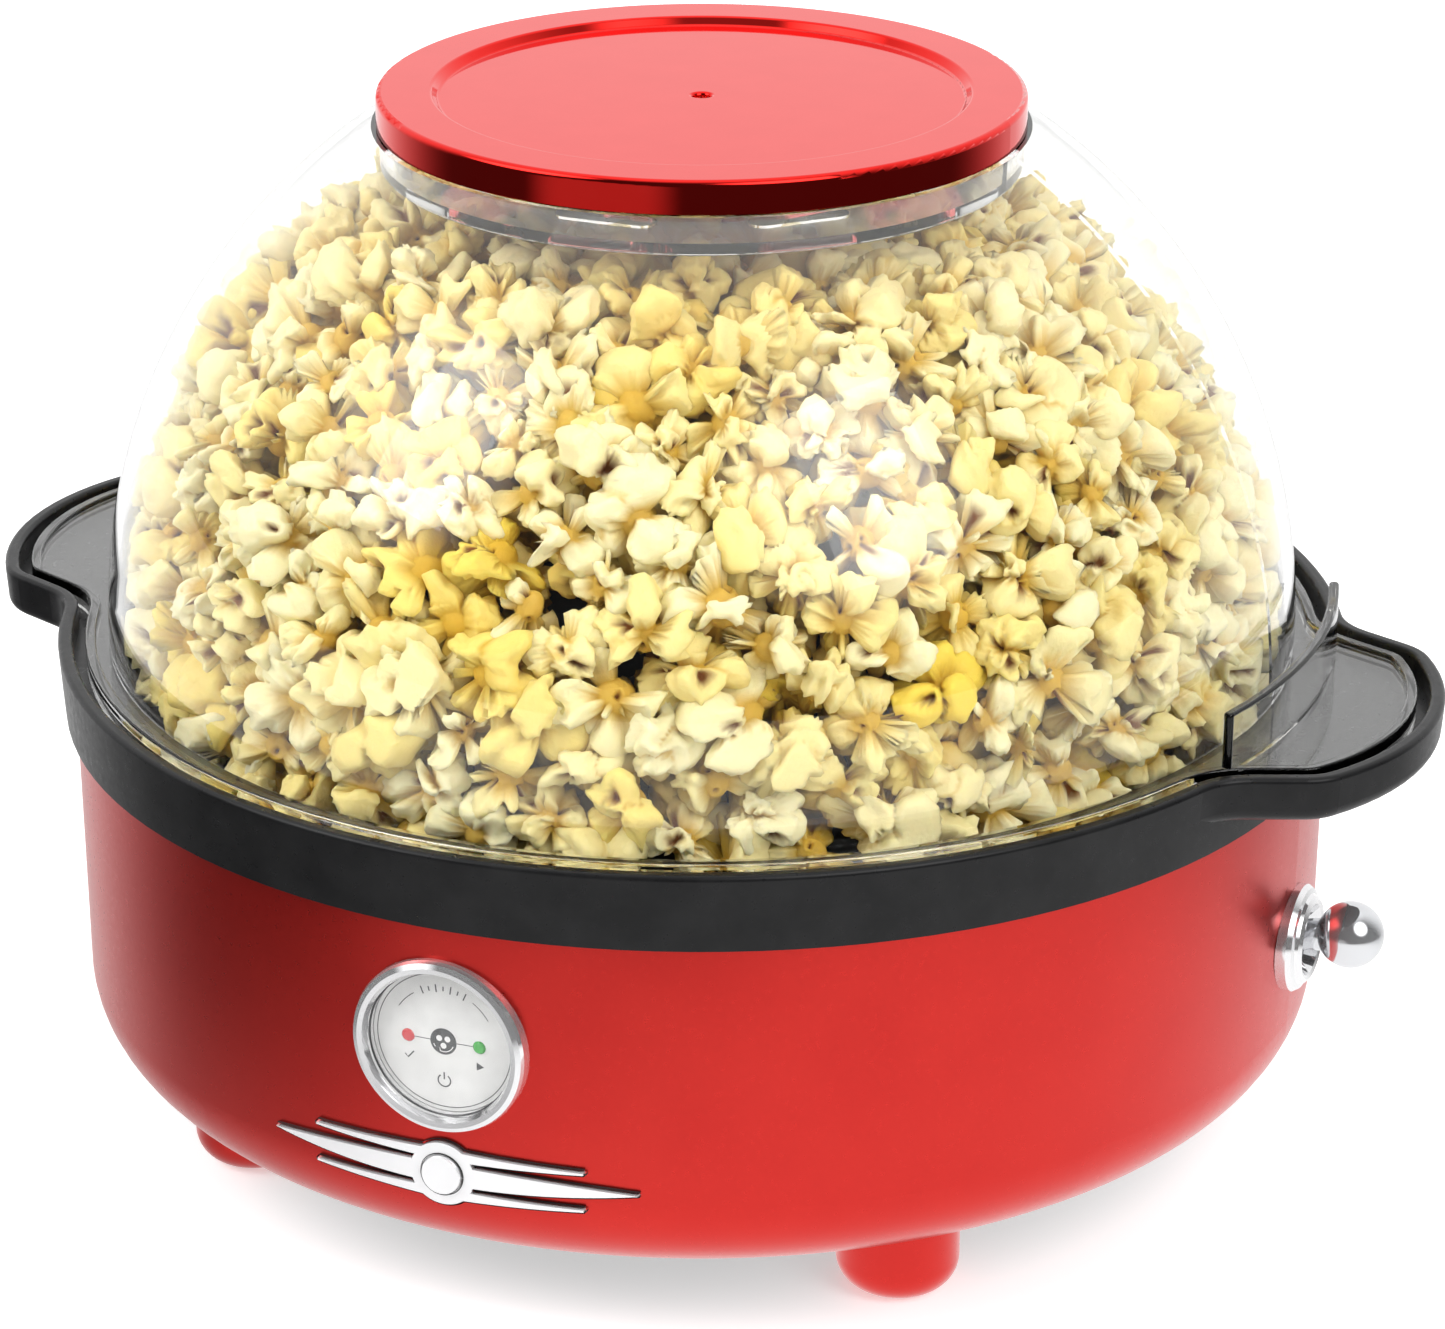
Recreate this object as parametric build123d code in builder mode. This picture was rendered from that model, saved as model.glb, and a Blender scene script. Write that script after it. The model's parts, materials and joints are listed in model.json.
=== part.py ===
from build123d import *
from math import acos, asin, cos, degrees, pi, radians, sin, sqrt, tan
import os

# Popcorn maker with a stirring rod, a clear dome that lifts off, and a lift-off cap.
# Millimetres. The origin lies on the vertical axis, on the surface the feet stand on.
# +Z is up, the gauge faces -Y (front), the switch and one handle point to +X (right).

# ---- Driving dimensions -------------------------------------------------------------
WALL = 2.5                # moulded wall of the body
BODY_BOTTOM = 20.8        # underside of the body above the floor
BODY_BEND_R = 131.0       # centre circle of the rounded lower edge
BODY_BEND = 21.0          # radius of that rounded edge
BODY_TOP_R = 152.8        # outer radius under the ring
BODY_TOP = 112.0          # upper edge of the shell, hidden inside the ring
COVER_R = 133.8           # bottom cover
LEDGE_TOP = 26.2          # inner ledge the cover is screwed to
LEDGE_R = 128.0
FOOT_R = 14.5
FOOT_CIRCLE = 118.5       # centres of the feet

RING_BOTTOM = 107.0
RING_TOP = 125.4
RING_TOP_R = 156.5
RING_DRAFT = 4.0          # degrees
RIM_WIDTH = 3.7           # flat rim around the recess for the dome
RING_LEDGE = 119.5        # face the dome's rim rests on
HANDLE_BOTTOM = 114.0
HANDLE_TIP_X = 184.0

PAN_FLOOR = 94.0          # upper face of the heating plate
PAN_T = 2.5
PAN_FLAT_R = 85.0         # the floor is flat out to here, then curves up
PAN_CURVE_R = 77.9
PAN_CURVE_END = 136.0
PAN_LIP_TOP = 116.7

DOME_R = 144.2            # outside of the dome
DOME_Z = 127.6            # height of its centre
DOME_T = 2.4
LAND_Z = 249.1            # flat land at the top of the dome, under the cap
WELL_R = 72.0             # inside of the recessed well in the top of the dome
WELL_OUTER_R = 75.2
WELL_FLOOR = (238.8, 241.2)
PLUG_R = 74.0             # short neck that the cap fits over
PLUG_TOP = 254.3
RIM_GAP = 6.6             # from the ring's outline to the dome's rim
RIM_LOW = 119.8
RIM_PLATE = (121.6, 124.0)
RIM_BEAD_TOP = 125.2
FENCE_R = 153.0           # upright rib on the right wing
FENCE_T = 2.5
FENCE_TOP = 138.5
FENCE_HALF_ANGLE = 16.5

CAP_R = 76.5
CAP_BOTTOM = 249.4
CAP_TOP = 257.2
CAP_RECESS_R = 63.5
CAP_RECESS = 2.0

GAUGE_Z = 77.6
GAUGE_R = 20.9            # chrome bezel
LENS_R = 17.5
SWITCH_Z = 64.4
SWITCH_R = 13.0
LEVER_TILT = 10.0         # degrees upward at rest
GLAND_Z = 48.0
GLAND_BORE_R = 3.6        # takes a 7 mm mains lead

SCREW_R = 1.7
SHAFT_R = 3.0
RUN_FIT = 0.05            # radial clearance of a turning fit
ROD_R = 1.75              # stirring wire
ELEMENT_R = 75.0          # tubular heating element
ELEMENT_TUBE_R = 4.0
BRACKET_Z = 60.0          # underside of the motor bracket

MODULE = 0.6              # gears
PINION_TEETH = 12
WHEEL_TEETH = 48
GEAR_CENTRES = 18.1       # 0.1 more than the pitch radii, for backlash
COMPOUND_AT = (GEAR_CENTRES, 0.0)
ROTOR_AT = (GEAR_CENTRES + GEAR_CENTRES * cos(radians(120)), GEAR_CENTRES * sin(radians(120)))
CASE_AT = (9.0, 8.0)      # centre of the round gearbox case
CASE_R = 29.5

# ---- Reference planes, each with its normal pointing out of the body --------------------
FRONT = Plane(origin=(0, 0, GAUGE_Z), x_dir=(1, 0, 0), z_dir=(0, -1, 0))
TRIM_PLANE = Plane(origin=(0, 0, 45.5), x_dir=(1, 0, 0), z_dir=(0, -1, 0))
RIGHT = Plane(origin=(0, 0, SWITCH_Z), x_dir=(0, 1, 0), z_dir=(1, 0, 0))
REAR = Plane(origin=(0, 0, GLAND_Z), x_dir=(-1, 0, 0), z_dir=(0, 1, 0))

FOOT_NAMES = ("foot_rear_right", "foot_rear_left", "foot_front_left", "foot_front_right")
STANDING = (Align.CENTER, Align.CENTER, Align.MIN)
HANGING = (Align.CENTER, Align.CENTER, Align.MAX)
pieces = {}


def polar(radius, angle, z=0.0):
    """Point at a radius and an angle in degrees from +X."""
    return (radius * cos(radians(angle)), radius * sin(radians(angle)), z)


def turned(*outline):
    """Solid of revolution about Z from its (radius, height) corners."""
    with BuildPart() as solid:
        with BuildSketch(Plane.XZ):
            with BuildLine():
                Polyline(*outline, close=True)
            make_face()
        revolve(axis=Axis.Z)
    return solid.part


def tube(outer_r, inner_r, low, high):
    """Straight round tube standing on Z, or a disc where inner_r is 0."""
    return turned((inner_r, low), (outer_r, low), (outer_r, high), (inner_r, high))


def screw(length, head_r=3.4, head_h=2.2, shank_r=SCREW_R):
    """Screw with its shank along +Z from z = 0 and its head below; cross slot in the head."""
    with BuildPart() as solid:
        Cylinder(shank_r, length, align=STANDING)
        Cylinder(head_r, head_h, align=HANGING)
        chamfer(solid.edges().group_by(Axis.Z)[0], 0.5)
        with Locations((0, 0, -head_h)):
            Box(head_r * 1.1, 0.8, 1.6, mode=Mode.SUBTRACT)
            Box(0.8, head_r * 1.1, 1.6, mode=Mode.SUBTRACT)
    return solid.part


def body_solid(grow):
    """The body's outer form, solid, moved outward by grow."""
    bend_z = BODY_BOTTOM + BODY_BEND
    bend = BODY_BEND + grow
    with BuildPart() as solid:
        with BuildSketch(Plane.XZ):
            with BuildLine():
                Line((0, BODY_BOTTOM - grow), (BODY_BEND_R, BODY_BOTTOM - grow))
                CenterArc((BODY_BEND_R, bend_z), bend, 270, 90)
                Line((BODY_BEND_R + bend, bend_z), (BODY_TOP_R + grow, BODY_TOP))
                Line((BODY_TOP_R + grow, BODY_TOP), (0, BODY_TOP))
                Line((0, BODY_TOP), (0, BODY_BOTTOM - grow))
            make_face()
        revolve(axis=Axis.Z)
    return solid.part


# ---- Body shell ------------------------------------------------------------------------
COVER_SCREW_ANGLES = (0, 90, 180, 270)
BRACKET_ANGLES = (45, 135, 225, 315)
RING_SCREW_ANGLES = (20, 160, 200, 340)
TOWER_R = 7.0
TOWER_CIRCLE = 143.5
TOWER_BOTTOM = 38.0
RING_TOWER_BOTTOM = 88.0
RING_TOWER_TOP = 99.7

with BuildPart() as cavity:
    add(body_solid(-WALL))
    split(bisect_by=Plane.XY.offset(LEDGE_TOP), keep=Keep.TOP)

with BuildPart() as base_shell:
    add(body_solid(0))
    add(cavity.part, mode=Mode.SUBTRACT)
    add(tube(COVER_R + 0.3, 0, 0, BODY_BOTTOM + 2.8), mode=Mode.SUBTRACT)
    add(tube(LEDGE_R, 0, 0, LEDGE_TOP + 1), mode=Mode.SUBTRACT)
    # bosses for the cover screws on the ledge
    with Locations(*[polar(130.0, a, BODY_BOTTOM + 2.8) for a in COVER_SCREW_ANGLES]):
        Cylinder(4.5, 12, align=STANDING)
        Cylinder(SCREW_R, 10, align=STANDING, mode=Mode.SUBTRACT)
    # towers along the wall for the motor bracket and for the ring
    with Locations(*[polar(TOWER_CIRCLE, a, TOWER_BOTTOM) for a in BRACKET_ANGLES]):
        Cylinder(TOWER_R, BRACKET_Z - TOWER_BOTTOM, align=STANDING)
    with Locations(*[polar(TOWER_CIRCLE, a, BRACKET_Z) for a in BRACKET_ANGLES]):
        Cylinder(SCREW_R, 12, align=HANGING, mode=Mode.SUBTRACT)
    with Locations(*[polar(TOWER_CIRCLE, a, RING_TOWER_BOTTOM) for a in RING_SCREW_ANGLES]):
        Cylinder(TOWER_R, RING_TOWER_TOP - RING_TOWER_BOTTOM, align=STANDING)
        Cylinder(SCREW_R + 0.4, 12, align=STANDING, mode=Mode.SUBTRACT)
    # holes for the gauge, the switch and the cord grommet
    with BuildSketch(FRONT.offset(130)):
        Circle(18.6)
    extrude(amount=40, mode=Mode.SUBTRACT)
    with BuildSketch(RIGHT.offset(130)):
        Circle(8.2)
    extrude(amount=40, mode=Mode.SUBTRACT)
    with BuildSketch(REAR.offset(130)):
        Circle(7.2)
    extrude(amount=40, mode=Mode.SUBTRACT)
pieces["base_shell"] = base_shell

# ---- Bottom cover and feet ------------------------------------------------------------------
COVER_T = 2.6
FOOT_ANGLES = (45, 135, 225, 315)

with BuildPart() as bottom_cover:
    add(tube(COVER_R, 0, BODY_BOTTOM, BODY_BOTTOM + COVER_T))
    fillet(bottom_cover.edges().group_by(Axis.Z)[0], 0.8)
    with Locations(*[polar(FOOT_CIRCLE, a, BODY_BOTTOM) for a in FOOT_ANGLES]):
        Cylinder(7.0, COVER_T + 3, align=STANDING)
        Cylinder(SCREW_R + 0.3, COVER_T + 3, align=STANDING, mode=Mode.SUBTRACT)
    with Locations(*[polar(130.0, a, BODY_BOTTOM) for a in COVER_SCREW_ANGLES]):
        Cylinder(SCREW_R + 0.3, COVER_T, align=STANDING, mode=Mode.SUBTRACT)
        Cylinder(3.7, 1.4, align=STANDING, mode=Mode.SUBTRACT)
    # rows of cooling slots under the motor
    with BuildSketch(Plane.XY.offset(BODY_BOTTOM)):
        for slot_circle in (34, 46, 58):
            with PolarLocations(slot_circle, 8, start_angle=22.5):
                SlotOverall(slot_circle * 0.5, 4.0, rotation=90)
    extrude(amount=COVER_T, mode=Mode.SUBTRACT)
pieces["bottom_cover"] = bottom_cover

for foot_name, foot_angle in zip(FOOT_NAMES, FOOT_ANGLES):
    with BuildPart() as foot:
        with Locations(polar(FOOT_CIRCLE, foot_angle)):
            Cylinder(FOOT_R, BODY_BOTTOM, align=STANDING)
        fillet(foot.edges().group_by(Axis.Z)[0], 8.0)
        with Locations(polar(FOOT_CIRCLE, foot_angle, BODY_BOTTOM)):
            Cylinder(SCREW_R, 12, align=HANGING, mode=Mode.SUBTRACT)
    pieces[foot_name] = foot

with BuildPart() as foot_screws:
    foot_screw_z = BODY_BOTTOM + COVER_T + 3
    with Locations(*[Location(polar(FOOT_CIRCLE, a, foot_screw_z), (180, 0, 0)) for a in FOOT_ANGLES]):
        add(screw(16))
pieces["foot_screws"] = foot_screws

with BuildPart() as cover_screws:
    with Locations(*[polar(130.0, a, BODY_BOTTOM + 1.4) for a in COVER_SCREW_ANGLES]):
        add(screw(10.5, head_r=3.4, head_h=1.4))
pieces["cover_screws"] = cover_screws

# ---- Ring with its two handles ------------------------------------------------------------
FLANK_IN = (169.5, 42.7)     # where a handle's flank meets the tip arc
FLANK_OUT = (140.0, 54.6)    # and a point of the flank inside the ring

with BuildSketch() as ring_outline:
    Circle(RING_TOP_R)
    for side in (1, -1):
        with BuildLine():
            rear_tip = (side * FLANK_IN[0], FLANK_IN[1])
            front_tip = (side * FLANK_IN[0], -FLANK_IN[1])
            ThreePointArc(front_tip, (side * HANDLE_TIP_X, 0), rear_tip)
            Polyline(rear_tip, (side * FLANK_OUT[0], FLANK_OUT[1]), (side * FLANK_OUT[0], -FLANK_OUT[1]),
                     front_tip)
        make_face()
    tips = [v for v in ring_outline.vertices() if abs(v.X) > 165]
    fillet(tips, 14)
    roots = [v for v in ring_outline.vertices() if 140 < abs(v.X) < 150]
    fillet(roots, 16)


def inset_outline(amount):
    """The ring's outline moved inward."""
    with BuildSketch() as outline:
        add(ring_outline.sketch)
        offset(amount=-amount, kind=Kind.INTERSECTION, mode=Mode.REPLACE)
    return outline.sketch


DRAFT_INSET = (RING_TOP - HANDLE_BOTTOM) * tan(radians(RING_DRAFT))
BAND_BOTTOM_R = RING_TOP_R - (RING_TOP - RING_BOTTOM) * tan(radians(RING_DRAFT))
BAND_MID_R = RING_TOP_R - (RING_TOP - 118.0) * tan(radians(RING_DRAFT))
LUG_R = 5.0

with BuildPart() as handle_ring:
    with BuildSketch(Plane.XY.offset(HANDLE_BOTTOM)):
        add(inset_outline(DRAFT_INSET))
    extrude(amount=RING_TOP - HANDLE_BOTTOM, taper=-RING_DRAFT)
    fillet(handle_ring.faces().sort_by(Axis.Z)[0].edges(), 3.6)
    # finger grip cored out from below
    with BuildSketch(Plane.XY.offset(HANDLE_BOTTOM)):
        add(inset_outline(8.0))
        Circle(160.0, mode=Mode.SUBTRACT)
    extrude(amount=3.0, mode=Mode.SUBTRACT)
    add(turned((140.0, RING_BOTTOM), (BAND_BOTTOM_R, RING_BOTTOM), (BAND_MID_R, 118.0), (140.0, 118.0)))
    # recess for the rim of the dome, and the round opening above the pan
    with BuildSketch(Plane.XY.offset(RING_LEDGE)):
        add(inset_outline(RIM_WIDTH))
    extrude(amount=10, mode=Mode.SUBTRACT)
    rim_edges = handle_ring.faces().filter_by(Plane.XY).sort_by(Axis.Z)[-1].edges()
    fillet(rim_edges, 1.2)
    add(tube(140.0, 0, 100, 130), mode=Mode.SUBTRACT)
    # room for the pan's lip, the locating skirt and the shell's upper edge
    add(tube(147.6, 130.0, 100, PAN_LIP_TOP), mode=Mode.SUBTRACT)
    add(tube(BODY_TOP_R + 0.3, 149.9, 100, BODY_TOP + 0.3), mode=Mode.SUBTRACT)
    # lugs the ring screws pull on
    with Locations(*[polar(144.0, a, 100.0) for a in RING_SCREW_ANGLES]):
        Cylinder(LUG_R, 10, align=STANDING)
    with Locations(*[polar(TOWER_CIRCLE, a, 100.0) for a in RING_SCREW_ANGLES]):
        Cylinder(SCREW_R, 9, align=STANDING, mode=Mode.SUBTRACT)
    # bosses the pan's clamp screws enter
    with Locations(*[polar(143.8, a, PAN_LIP_TOP) for a in BRACKET_ANGLES]):
        Cylinder(3.0, 3.2, align=HANGING)
        Cylinder(SCREW_R - 0.2, 4.2, mode=Mode.SUBTRACT)
        Cylinder(SCREW_R - 0.2, 3.3, align=HANGING, mode=Mode.SUBTRACT)
pieces["handle_ring"] = handle_ring

with BuildPart() as ring_screws:
    with Locations(*[polar(TOWER_CIRCLE, a, RING_TOWER_BOTTOM) for a in RING_SCREW_ANGLES]):
        add(screw(19))
pieces["ring_screws"] = ring_screws

# ---- Heating plate with what hangs under it --------------------------------------------------
PAN_UNDER = PAN_FLOOR - PAN_T
curve_z = PAN_FLOOR + PAN_CURVE_R
curve_angle = degrees(asin((PAN_CURVE_END - PAN_FLAT_R) / PAN_CURVE_R))
BUSH_HOLE_R = 5.3


def curve_point(radius_offset):
    """End of the pan's curve, on the upper face or offset from it."""
    reach = PAN_CURVE_R + radius_offset
    return (PAN_FLAT_R + reach * sin(radians(curve_angle)), curve_z - reach * cos(radians(curve_angle)))


with BuildPart() as heating_plate:
    with BuildSketch(Plane.XZ):
        with BuildLine():
            Line((BUSH_HOLE_R, PAN_FLOOR), (PAN_FLAT_R, PAN_FLOOR))
            CenterArc((PAN_FLAT_R, curve_z), PAN_CURVE_R, 270, curve_angle)
            Polyline(curve_point(0), (139.6, PAN_LIP_TOP), (147.3, PAN_LIP_TOP), (147.3, PAN_LIP_TOP - PAN_T),
                     (141.0, PAN_LIP_TOP - PAN_T), curve_point(PAN_T))
            CenterArc((PAN_FLAT_R, curve_z), PAN_CURVE_R + PAN_T, 270, curve_angle)
            Polyline((PAN_FLAT_R, PAN_UNDER), (BUSH_HOLE_R, PAN_UNDER), (BUSH_HOLE_R, PAN_FLOOR))
        make_face()
    revolve(axis=Axis.Z)
    with Locations(*[polar(143.8, a, PAN_LIP_TOP) for a in BRACKET_ANGLES]):
        Cylinder(3.3, 20, mode=Mode.SUBTRACT)
pieces["heating_plate"] = heating_plate

with BuildPart() as pan_clamp_screws:
    with Locations(*[polar(143.8, a, PAN_LIP_TOP - 3.2) for a in BRACKET_ANGLES]):
        add(screw(4.8, head_r=3.4, head_h=1.8, shank_r=SCREW_R - 0.2))
pieces["pan_clamp_screws"] = pan_clamp_screws

ELEMENT_Z = PAN_UNDER - ELEMENT_TUBE_R
ELEMENT_HALF_ANGLE = 160.0
ELEMENT_DROP = 8.0          # radius of the bend into each leg
ELEMENT_FOOT = 72.0         # lower end of the legs
ELEMENT_MIDDLE = 200.0      # the loop is open towards the thermostat side


def leg_points(sign):
    """Loop end, middle and end of the downward bend, and foot of one leg."""
    angle = ELEMENT_MIDDLE + sign * ELEMENT_HALF_ANGLE
    along = Vector(-sin(radians(angle)), cos(radians(angle)), 0) * sign
    end = Vector(*polar(ELEMENT_R, angle, ELEMENT_Z))
    middle = end + along * (ELEMENT_DROP * sin(pi / 4)) - Vector(0, 0, ELEMENT_DROP * (1 - cos(pi / 4)))
    corner = end + along * ELEMENT_DROP - Vector(0, 0, ELEMENT_DROP)
    return end, middle, corner, Vector(corner.X, corner.Y, ELEMENT_FOOT)


with BuildPart() as heating_element:
    with BuildLine():
        first = leg_points(-1)
        last = leg_points(1)
        Line(first[3], first[2])
        ThreePointArc(first[2], first[1], first[0])
        ThreePointArc(first[0], polar(ELEMENT_R, ELEMENT_MIDDLE, ELEMENT_Z), last[0])
        ThreePointArc(last[0], last[1], last[2])
        Line(last[2], last[3])
    with BuildSketch(Plane(origin=first[3], z_dir=(0, 0, 1))):
        Circle(ELEMENT_TUBE_R)
    sweep()
pieces["heating_element"] = heating_element

leg_feet = [(leg_points(sign)[3].X, leg_points(sign)[3].Y) for sign in (-1, 1)]
with BuildPart() as element_insulators:
    with Locations(*[(x, y, 0) for x, y in leg_feet]):
        add(turned((1.5, 67), (2.6, 67), (3.2, 70), (3.2, 72), (1.5, 72)))
pieces["element_insulators"] = element_insulators

with BuildPart() as element_terminals:
    with Locations(*[(x, y, 61) for x, y in leg_feet]):
        Cylinder(1.5, 11, align=STANDING)
        Box(0.8, 6, 6, align=HANGING)
pieces["element_terminals"] = element_terminals

STUD_ANGLES = (80, 200, 320)
STUD_CIRCLE = 52.0
SHIELD_Z = 77.0
SHIELD_T = 0.8

with BuildPart() as plate_studs:
    with Locations(*[polar(STUD_CIRCLE, a) for a in STUD_ANGLES]):
        add(turned((0, 70), (2, 70), (2, SHIELD_Z + SHIELD_T), (4, SHIELD_Z + SHIELD_T), (4, PAN_UNDER),
                   (0, PAN_UNDER)))
pieces["plate_studs"] = plate_studs

with BuildPart() as heat_shield:
    add(turned((10, SHIELD_Z), (118, SHIELD_Z), (124, SHIELD_Z + 6), (124, SHIELD_Z + 6 + 1.1),
               (117.7, SHIELD_Z + SHIELD_T), (10, SHIELD_Z + SHIELD_T)))
    with Locations(*[polar(STUD_CIRCLE, a, SHIELD_Z) for a in STUD_ANGLES]):
        Cylinder(2.0, 4, mode=Mode.SUBTRACT)
    with Locations(*[(x, y, SHIELD_Z) for x, y in leg_feet]):
        Cylinder(6.0, 4, mode=Mode.SUBTRACT)
pieces["heat_shield"] = heat_shield

with BuildPart() as shield_nuts:
    with BuildSketch(Plane.XY.offset(SHIELD_Z - 3)):
        with Locations(*[polar(STUD_CIRCLE, a) for a in STUD_ANGLES]):
            RegularPolygon(4.0, 6)
            Circle(2.0, mode=Mode.SUBTRACT)
    extrude(amount=3)
pieces["shield_nuts"] = shield_nuts

THERMOSTAT_AT = polar(32.0, 140)
with BuildPart() as thermostat_cap:
    with Locations(THERMOSTAT_AT):
        add(tube(8.5, 0, 88.5, PAN_UNDER))
    with BuildSketch(Plane.XY.offset(88.5)):
        with Locations(Location(THERMOSTAT_AT, 50)):
            SlotOverall(30, 7)
            with Locations((-12, 0), (12, 0)):
                Circle(SCREW_R - 0.2, mode=Mode.SUBTRACT)
    extrude(amount=0.8)
pieces["thermostat_cap"] = thermostat_cap

with BuildPart() as thermostat:
    with Locations(THERMOSTAT_AT):
        add(tube(8.0, 0, 80.5, 88.5))
        with Locations((-4, 0, 80.5), (4, 0, 80.5)):
            Box(0.8, 5, 2.2, align=HANGING)
pieces["thermostat"] = thermostat

THERMOSTAT_EARS = [Location(THERMOSTAT_AT, 50) * Location((x, 0, 88.5)) for x in (-12, 12)]
with BuildPart() as thermostat_screws:
    with Locations(*THERMOSTAT_EARS):
        add(screw(PAN_UNDER - 88.5, head_r=3.0, head_h=1.6, shank_r=SCREW_R - 0.2))
pieces["thermostat_screws"] = thermostat_screws

FUSE_AT = Location(polar(40.0, 255, PAN_UNDER - 2.4), (0, 0, 345)) * Location((0, 0, 0), (0, 90, 0))
with BuildPart() as thermal_fuse:
    with Locations(FUSE_AT):
        Cylinder(1.8, 11)
        Cylinder(0.5, 24)
pieces["thermal_fuse"] = thermal_fuse

with BuildPart() as fuse_clip:
    with Locations(FUSE_AT):
        Box(4.8, 5.2, 6.0)
        Cylinder(1.8, 8, mode=Mode.SUBTRACT)
pieces["fuse_clip"] = fuse_clip

# ---- Motor bracket and gear motor ------------------------------------------------------------
BRACKET_T = 1.5
CASE_BOTTOM = 44.0
CASE_TOP = 58.5             # the lid fills from here to the bracket
LOW_GEARS = (46.2, 50.2)
HIGH_GEARS = (51.2, 55.8)
CAN_R = 24.0
CAN_BOTTOM = 27.0
CASE_SCREWS = [polar(26.0, a) for a in (70, 190, 290)]

with BuildPart() as motor_bracket:
    with BuildSketch(Plane.XY.offset(BRACKET_Z)):
        for arm_angle in (45, 135):
            SlotOverall(2 * TOWER_CIRCLE + 12, 14, rotation=arm_angle)
        Circle(40)
        Circle(8, mode=Mode.SUBTRACT)
        with Locations(*[polar(TOWER_CIRCLE, a) for a in BRACKET_ANGLES]):
            Circle(SCREW_R, mode=Mode.SUBTRACT)
        with Locations(*[(CASE_AT[0] + x, CASE_AT[1] + y) for x, y, _ in CASE_SCREWS]):
            Circle(1.3, mode=Mode.SUBTRACT)
        with Locations(ROTOR_AT, COMPOUND_AT):
            Circle(2.2, mode=Mode.SUBTRACT)
    extrude(amount=BRACKET_T)
    # upturned stiffening edges along each arm
    with BuildSketch(Plane.XY.offset(BRACKET_Z)):
        for arm_angle in BRACKET_ANGLES:
            with Locations(Location((0, 0, 0), arm_angle)):
                with Locations((84, 6.4), (84, -6.4)):
                    Rectangle(84, 1.2)
    extrude(amount=7)
pieces["motor_bracket"] = motor_bracket

with BuildPart() as bracket_screws:
    bracket_top = BRACKET_Z + BRACKET_T
    with Locations(*[Location(polar(TOWER_CIRCLE, a, bracket_top), (180, 0, 0)) for a in BRACKET_ANGLES]):
        add(screw(12))
pieces["bracket_screws"] = bracket_screws

with BuildPart() as gearbox_case:
    with Locations((CASE_AT[0], CASE_AT[1], 0)):
        add(turned((0, CASE_BOTTOM), (CASE_R, CASE_BOTTOM), (CASE_R, CASE_TOP), (CASE_R - 1.5, CASE_TOP),
                   (CASE_R - 1.5, CASE_BOTTOM + 1.5), (0, CASE_BOTTOM + 1.5)))
    with Locations((ROTOR_AT[0], ROTOR_AT[1], CASE_BOTTOM)):
        Cylinder(1.0 + RUN_FIT, 6, mode=Mode.SUBTRACT)
    with Locations((0, 0, CASE_BOTTOM)):
        Cylinder(1.5 + RUN_FIT, 6, mode=Mode.SUBTRACT)
    with Locations((COMPOUND_AT[0], 0, CASE_BOTTOM)):
        Cylinder(1.2, 6, mode=Mode.SUBTRACT)
pieces["gearbox_case"] = gearbox_case

with BuildPart() as gearbox_lid:
    with Locations((CASE_AT[0], CASE_AT[1], 0)):
        add(tube(CASE_R, 0, CASE_TOP, BRACKET_Z))
    Cylinder(SHAFT_R + RUN_FIT, 200, mode=Mode.SUBTRACT)
    with Locations((ROTOR_AT[0], ROTOR_AT[1], CASE_TOP)):
        Cylinder(1.0 + RUN_FIT, 6, mode=Mode.SUBTRACT)
    with Locations((COMPOUND_AT[0], 0, CASE_TOP)):
        Cylinder(1.2, 6, mode=Mode.SUBTRACT)
    with Locations(*[(CASE_AT[0] + x, CASE_AT[1] + y, CASE_TOP) for x, y, _ in CASE_SCREWS]):
        Cylinder(1.3, 6, mode=Mode.SUBTRACT)
pieces["gearbox_lid"] = gearbox_lid

with BuildPart() as gearbox_screws:
    with Locations(*[Location((CASE_AT[0] + x, CASE_AT[1] + y, BRACKET_Z + BRACKET_T), (180, 0, 0))
                     for x, y, _ in CASE_SCREWS]):
        add(screw(3.0, head_r=2.4, head_h=1.4, shank_r=1.3))
pieces["gearbox_screws"] = gearbox_screws

with BuildPart() as motor_can:
    with Locations((ROTOR_AT[0], ROTOR_AT[1], 0)):
        add(turned((1.0 + RUN_FIT, CAN_BOTTOM), (CAN_R, CAN_BOTTOM), (CAN_R, CASE_BOTTOM),
                   (CAN_R - 1, CASE_BOTTOM), (CAN_R - 1, CAN_BOTTOM + 1), (4, CAN_BOTTOM + 1),
                   (4, CAN_BOTTOM + 2.2), (1.0 + RUN_FIT, CAN_BOTTOM + 2.2)))
pieces["motor_can"] = motor_can

with BuildPart() as motor_coil:
    with Locations((ROTOR_AT[0], ROTOR_AT[1], 0)):
        add(turned((14, 28), (22.5, 28), (22.5, 29.2), (21.5, 30), (21.5, 41), (22.5, 41.8), (22.5, 42.6),
                   (14, 42.6)))
pieces["motor_coil"] = motor_coil

with BuildPart() as stator_poles:
    with Locations((ROTOR_AT[0], ROTOR_AT[1], 0)):
        add(tube(22.5, 12.4, 42.6, CASE_BOTTOM))
    with Locations((ROTOR_AT[0], ROTOR_AT[1], 31)):
        with PolarLocations(12.9, 6):
            Box(0.9, 4, 11.7, align=STANDING)
pieces["stator_poles"] = stator_poles


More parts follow.
